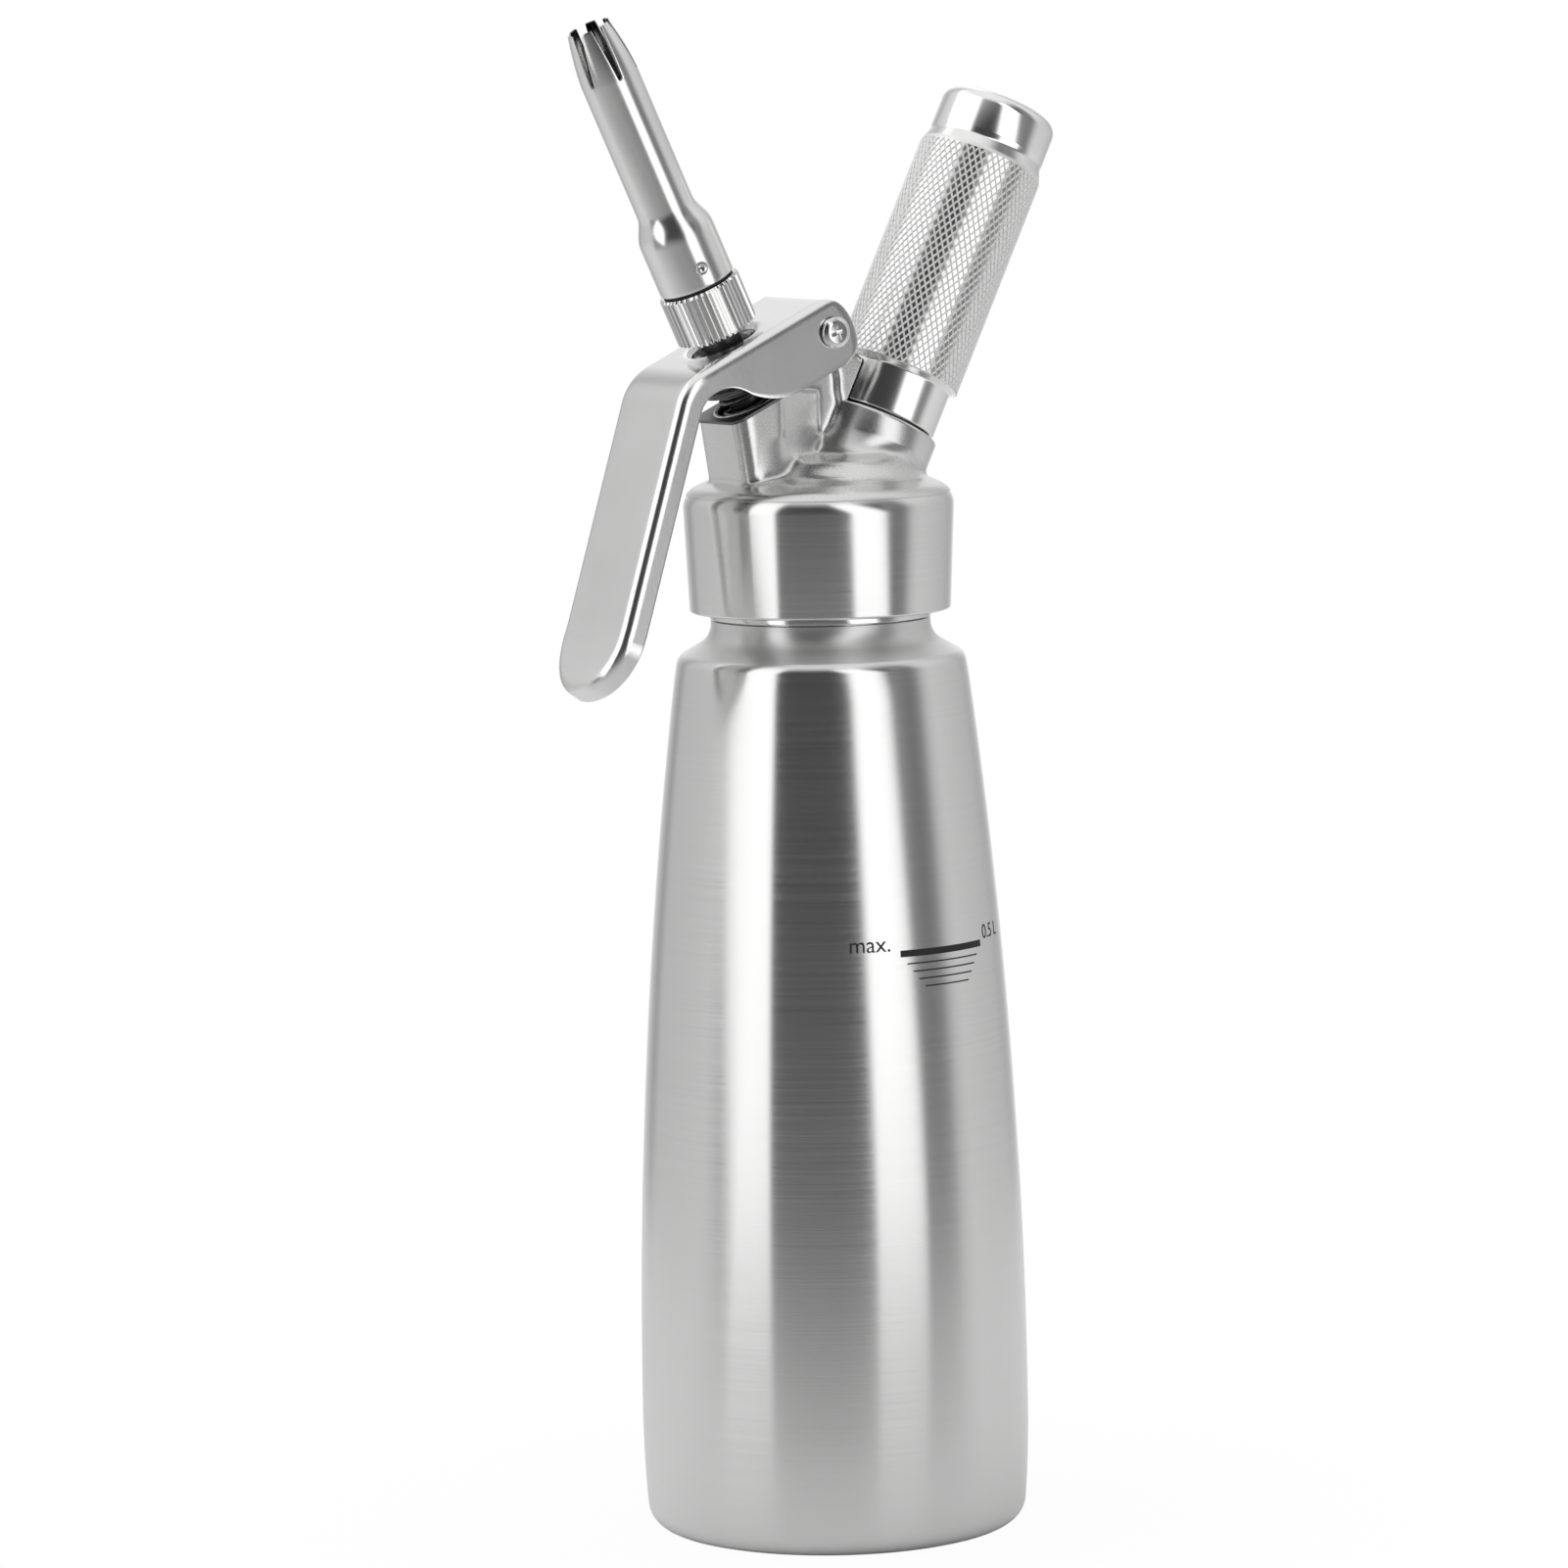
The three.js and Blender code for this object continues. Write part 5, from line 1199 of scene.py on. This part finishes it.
def addNozzle():
    d, places = nozzle, nozzlePlaces()
    rows = len(places) - 1
    mesh = bmesh.new()  # half a prong, and the wall under it
    bmesh.ops.create_grid(mesh, x_segments=d["columns"], y_segments=rows, size=1)
    for vert in mesh.verts:
        share, row = (vert.co.x + 1) / 2, round((vert.co.y + 1) / 2 * rows)
        place = places[row]
        reach = nozzleRadius(place)
        gap = slotHalf(place) / reach
        angle = gap + (pi / d["prongs"] - gap) * share
        vert.co = (reach * cos(angle), reach * sin(angle), place)
    bmesh.ops.mirror(mesh, geom=everything(mesh), axis="Y", merge_dist=-1)
    copies = d["prongs"] - 1
    bmesh.ops.spin(mesh, geom=everything(mesh), cent=(0, 0, 0), axis=(0, 0, 1),
                   angle=2 * pi * copies / d["prongs"], steps=copies, use_duplicate=True)
    tidy(mesh, 1e-3)
    turn = pi / d["prongs"] + radians(d["slotTurn"])
    bmesh.ops.rotate(mesh, verts=mesh.verts, cent=(0, 0, 0), matrix=Matrix.Rotation(turn, 3, "Z"))
    mesh = shaped(mesh, ("SOLIDIFY", {"thickness": d["wall"], "offset": -1}), softened(d["edge"]))
    for vert in mesh.verts:  # the mouth's edge is thinned inside
        reach = vert.co.xy.length
        share = (vert.co.z - d["mouthPlace"] + d["thinned"]) / d["thinned"]
        if share > 0 and reach < nozzleRadius(vert.co.z) - d["wall"] / 2:
            vert.co.xy *= 1 + (d["wall"] - d["mouthWall"]) * share / reach
    ball = bmesh.new()
    turn = Matrix.Rotation(radians(d["dimpleAngle"]), 4, "Z")
    middle = Matrix.Translation((0, -d["bell"] - d["dimpleOut"], d["dimplePlace"]))
    bmesh.ops.create_uvsphere(ball, u_segments=32, v_segments=16, radius=d["dimple"], matrix=turn @ middle)
    mesh = cut(mesh, ball)
    piece("nozzle", joined(mesh, ridge(nozzleThread)), "nozzle", "nozzle", ["nozzle_tip"], nozzleFrame,
          sharp=30)


addNozzle()
print("nozzle made")

# Charger holder: a knurled tube between two smooth collars

holder = {
    "bore": 9.35, "threadRoot": 10.7, "collar": 11.3, "bottom": 32.48, "collarLength": 10.1, "knurl": 12.65,
    "step": 1.1, "stepRound": 0.5, "edge": 0.3, "endRound": 0.4, "endOut": 0.15, "capCone": 3.2,
    "coneRound": 1.2, "cap": 11.75, "capFoot": 0.6, "capLength": 9.1, "top": 100.38, "capRound": 2.6,
    "capTuck": 0.1, "capDrop": 0.4, "capRise": 0.8, "end": 2.3, "threadTop": 46.4, "threadCone": 1,
    "around": 60, "rows": 20, "groove": 0.22, "rim": 0.18, "sides": 240,
}
holderThread = {
    "root": 10.8, "crest": 9.75, "flank": 1.05, "top": 0.5, "pitch": 2.5, "turns": 2.75, "start": 35.6,
}


def knurlSleeve(bottom, top, floor):
    # Diamonds round the holder: a turned grid with raised faces, trimmed and wrapped.
    d = holder
    around, rows = d["around"], d["rows"]
    middle, stretch = (top + bottom) / 2, (top - bottom) / rows
    mesh = bmesh.new()
    cells = around + rows
    bmesh.ops.create_grid(mesh, x_segments=cells, y_segments=cells, size=cells / 2)
    bmesh.ops.rotate(mesh, verts=mesh.verts, cent=(0, 0, 0), matrix=Matrix.Rotation(pi / 4, 3, "Z"))
    bmesh.ops.scale(mesh, verts=mesh.verts, vec=(1 / sqrt(2), 1 / sqrt(2), 1))
    for face in [face for face in mesh.faces if abs(face.calc_center_median().x) > around / 2 + 1
                 or abs(face.calc_center_median().y) > rows / 2 + 1]:
        mesh.faces.remove(face)
    made = bmesh.ops.inset_individual(mesh, faces=mesh.faces[:], thickness=d["rim"], depth=0)
    rims = set(made["faces"])
    tops = {vert for face in mesh.faces if face not in rims for vert in face.verts}
    for vert in tops:
        vert.co.z = d["groove"]
    for x, y, normal in ((around / 2, 0, (1, 0, 0)), (-around / 2, 0, (-1, 0, 0)),
                         (0, rows / 2, (0, 1, 0)), (0, -rows / 2, (0, -1, 0))):
        bmesh.ops.bisect_plane(mesh, geom=everything(mesh), dist=1e-4, plane_co=(x, y, 0),
                               plane_no=normal, clear_outer=True)
    for vert in mesh.verts:
        angle, reach = 2 * pi * vert.co.x / around, floor + vert.co.z
        vert.co = (reach * cos(angle), reach * sin(angle), middle + vert.co.y * stretch)
    return tidy(mesh, 1e-3)


def addHolder():
    d = holder
    knurlBottom, capBottom = d["bottom"] + d["collarLength"], d["top"] - d["capLength"]
    knurlTop, floor = capBottom - d["capCone"], d["knurl"] - d["groove"]
    outline = rounded([
        (d["threadRoot"], d["bottom"]), (d["collar"], d["bottom"], d["edge"]),
        (d["collar"], knurlBottom - d["step"], d["stepRound"]),
        (floor + d["endOut"], knurlBottom, d["endRound"]), (floor, knurlBottom + d["edge"]),
        (floor, knurlTop - d["edge"]), (floor + d["endOut"], knurlTop, d["edge"]),
        (d["cap"] - d["capTuck"], capBottom - d["capDrop"], d["coneRound"]),
        (d["cap"], capBottom + d["capRise"], d["capFoot"]), (d["cap"], d["top"], d["capRound"]),
        (0, d["top"]), (0, d["top"] - d["end"]), (d["bore"], d["top"] - d["end"]),
        (d["bore"], d["threadTop"]), (d["threadRoot"], d["threadTop"] - d["threadCone"]),
    ])
    tube = spun(outline, d["sides"], ring=True)
    knurl = knurlSleeve(knurlBottom, knurlTop, floor)
    piece("holder", joined(tube, knurl, ridge(holderThread)), "holder", "knurled_steel", ["charger_holder"],
          holderFrame, sharp=24)


addHolder()
print("charger holder made")

# Seals and washers: plain rings with softened edges
rings = {
    "headGasket": {
        "node": "head_gasket", "body": "gasket", "finish": "red_silicone", "place": Matrix(),
        "inner": 18.85, "outer": 21.45, "bottom": 200.3, "top": 202.3, "edge": 0.3,
    },
    "tipSeal": {
        "node": "tip_seal", "body": "tip_seal", "finish": "black_rubber", "place": nozzleFrame,
        "inner": 6.2, "outer": 7.2, "bottom": 63.12, "top": 63.7, "edge": 0.15,
    },
    "valveSeal": {
        "node": "valve_seal", "body": "valve", "finish": "grey_silicone", "place": nozzleFrame,
        "inner": 3.5, "outer": 6.4, "bottom": 9.97, "top": 11.97, "edge": 0.3,
    },
    "stemRing": {
        "node": "stem_ring", "body": "valve", "finish": "black_rubber", "place": nozzleFrame,
        "inner": 2.6, "outer": 4.2, "bottom": 19.97, "top": 21.57, "edge": 0.75,
    },
    "chargerSeal": {
        "node": "charger_seal", "body": "head", "finish": "black_rubber", "place": holderFrame,
        "inner": 2.2, "outer": 4.6, "bottom": 30.78, "top": 32.28, "edge": 0.25,
    },
    "valveNut": {
        "node": "valve_nut", "body": "valve", "finish": "polished_steel", "place": nozzleFrame,
        "inner": 2.9, "outer": 6.6, "bottom": 6.47, "top": 9.67, "edge": 0.5,
    },
}


def addRings():
    for name, d in rings.items():
        low, high = d["bottom"], d["top"]
        corners = ((d["inner"], low), (d["outer"], low), (d["outer"], high), (d["inner"], high))
        outline = rounded([(*corner, d["edge"]) for corner in corners], 4)
        piece(name, spun(outline, ring=True), d["body"], d["finish"], [d["node"]], d["place"])


addRings()
print("seals made")

# Gas inlet and the charger that it pierces
inlet = {
    "plug": 4.6, "bottom": 25.88, "top": 30.48, "topEdge": 0.2, "flange": 2.3, "flangeSeat": 29.28,
    "flangeEdge": 0.15, "slack": 0.3, "pin": 1.15, "pinBore": 0.45, "pinTip": 0.55, "pinTop": 35.98,
    "point": 2, "check": 3.6, "checkBottom": 23.48, "checkLip": 24.28, "checkTop": 25.4, "dome": 1.2,
    "edge": 0.3,
}
charger = {
    "hole": 1.5, "neck": 4.35, "seat": 32.58, "seatEdge": 0.6, "neckTop": 41.58, "neckRound": 3,
    "neckInner": 41.78, "body": 8.95, "shoulder": 49.58, "shoulderRound": 4, "shoulderInner": 49.98,
    "end": 97.78, "wall": 1.4, "round": 5,
}


def addInlet():
    d = inlet
    shank, wide = d["pin"] + d["slack"], d["flange"] + d["slack"]
    seat = d["flangeSeat"] - d["slack"]
    plug = rounded([
        (shank, d["bottom"]), (d["plug"], d["bottom"], d["edge"]), (d["plug"], d["top"], d["topEdge"]),
        (wide, d["top"]), (wide, seat), (shank, seat),
    ])
    piece("pinHolder", spun(plug, 64, ring=True), "head", "brass", ["pin_holder"], holderFrame)
    pin = rounded([
        (d["pinBore"], d["bottom"]), (d["pin"], d["bottom"]), (d["pin"], d["flangeSeat"]),
        (d["flange"], d["flangeSeat"], d["flangeEdge"]), (d["flange"], d["top"], d["flangeEdge"]),
        (d["pin"], d["top"]), (d["pin"], d["pinTop"] - d["point"], d["edge"]),
        (d["pinTip"], d["pinTop"]), (d["pinBore"], d["pinTop"]),
    ])
    piece("piercePin", spun(pin, 48, ring=True), "head", "polished_steel", ["pierce_pin"], holderFrame)
    button = rounded([
        (0, d["checkBottom"] + d["dome"]), (d["check"] / 2, d["checkBottom"], d["dome"]),
        (d["check"], d["checkLip"], d["edge"]), (d["check"], d["checkTop"], d["edge"]), (0, d["checkTop"]),
    ])
    piece("checkValve", spun(button, 64), "head", "grey_silicone", ["check_valve"], holderFrame)


def addCharger():
    d, wall = charger, charger["wall"]
    neckIn, bodyIn, floor = d["neck"] - wall, d["body"] - wall, d["end"] - wall
    shell = rounded([
        (d["hole"], d["seat"]), (d["neck"], d["seat"], d["seatEdge"]),
        (d["neck"], d["neckTop"], d["neckRound"]), (d["body"], d["shoulder"], d["shoulderRound"]),
        (d["body"], d["end"], d["round"]), (0, d["end"]), (0, floor), (bodyIn, floor, d["round"] - wall),
        (bodyIn, d["shoulderInner"]),
        (neckIn, d["neckInner"]), (neckIn, d["seat"] + wall), (d["hole"], d["seat"] + wall),
    ], steps=8)
    piece("gasCharger", spun(shell, 128), "charger", "cast_steel", ["gas_charger"], holderFrame)


addInlet()
addCharger()
print("charger made")

# Fill mark on the bottle, printed round it

mark = {
    "lift": 0.03, "wrap": 34.5, "barLeft": 14.7, "barRight": 36.4, "barBottom": 117.5, "barTop": 118.8,
    "lines": 4, "left": 16.1, "leftStep": 1.25, "right": 34.7, "rightStep": 1.15, "height": 116,
    "pitch": 1.53, "thin": 0.28, "word": "max.", "wordSize": 4.5, "wordLeft": 4.2, "wordBottom": 118.8,
    "volume": "0.5 L", "volumeSize": 4, "volumeLeft": 37.5, "volumeBottom": 118.8,
}


def onBottle(mesh):
    # Wraps a flat print, x round the bottle from its middle line and y up, onto the wall.
    for vert in mesh.verts:
        around, height = vert.co.x, vert.co.y
        reach = bottleRadius(height) + mark["lift"]
        angle = radians(studio["cameraSide"]) + around / mark["wrap"]
        vert.co = (reach * cos(angle), reach * sin(angle), height)
    return mesh


def strip(left, right, bottom, top):
    mesh = bmesh.new()
    bmesh.ops.create_grid(mesh, x_segments=24, y_segments=1, size=0.5)
    mesh.transform(Matrix.Translation(((left + right) / 2, (bottom + top) / 2, 0))
                   @ Matrix.Diagonal((right - left, top - bottom, 1, 1)))
    return mesh


def words(text, size, left, bottom):
    letters = bpy.data.curves.new("letters", "FONT")
    letters.body, letters.size = text, size
    item = bpy.data.objects.new("letters", letters)
    scene.collection.objects.link(item)
    data = bpy.data.meshes.new_from_object(item.evaluated_get(bpy.context.evaluated_depsgraph_get()))
    bpy.data.objects.remove(item)
    mesh = bmesh.new()
    mesh.from_mesh(data)
    bmesh.ops.translate(mesh, verts=mesh.verts, vec=(left, bottom, 0))
    return mesh


def addMark():
    d = mark
    lines = [strip(d["barLeft"], d["barRight"], d["barBottom"], d["barTop"])]
    for i in range(d["lines"]):
        left, right = d["left"] + i * d["leftStep"], d["right"] - i * d["rightStep"]
        height = d["height"] - i * d["pitch"]
        lines.append(strip(left, right, height, height + d["thin"]))
    lines.append(words(d["word"], d["wordSize"], d["wordLeft"], d["wordBottom"]))
    lines.append(words(d["volume"], d["volumeSize"], d["volumeLeft"], d["volumeBottom"]))
    piece("fillMark", onBottle(joined(*lines)), "bottle", "ink")


addMark()
print("fill mark made")

# Floor

# Floor tone runs from near to far: painted light, bright by the object and darker towards the camera, seen in
# the bottle's reflections
paper = {"radius": 0.45, "near": 0.9, "far": 0.35, "shadow": 0.05, "shadowReach": 0.16}


def addFloor():
    d, mesh = paper, bmesh.new()
    bmesh.ops.create_circle(mesh, cap_ends=True, segments=96, radius=d["radius"])
    data = bpy.data.meshes.new("floor")
    mesh.to_mesh(data)
    mesh.free()
    material = bpy.data.materials.new("paper")
    sheet = Sheet(material)
    x, y, z = sheet.parts(sheet.spot())
    side = radians(studio["cameraSide"])
    ahead = x * cos(side) + y * sin(side)  # metres towards the camera
    # painted light: the floor darkens towards the camera
    tone = sheet.ramp(ahead, ((0, d["near"]), (d["radius"], d["far"])))
    plain = sheet.add("BsdfDiffuse", {}, {"Color": tone})
    white = sheet.add("Emission", {}, {"Color": (1, 1, 1, 1), "Strength": 1})
    away = (x * x + y * y).math("SQRT")
    shade = sheet.ramp(away, ((0, d["shadow"]), (d["shadowReach"], 0)))
    both = sheet.add("MixShader", {}, {0: sheet.add("LightPath") * (1 - shade), 1: plain, 2: white})
    sheet.add("OutputMaterial", {}, {"Surface": both})
    data.materials.append(material)
    item = bpy.data.objects.new("floor", data)
    scene.collection.objects.link(item)


addFloor()
print("floor made")
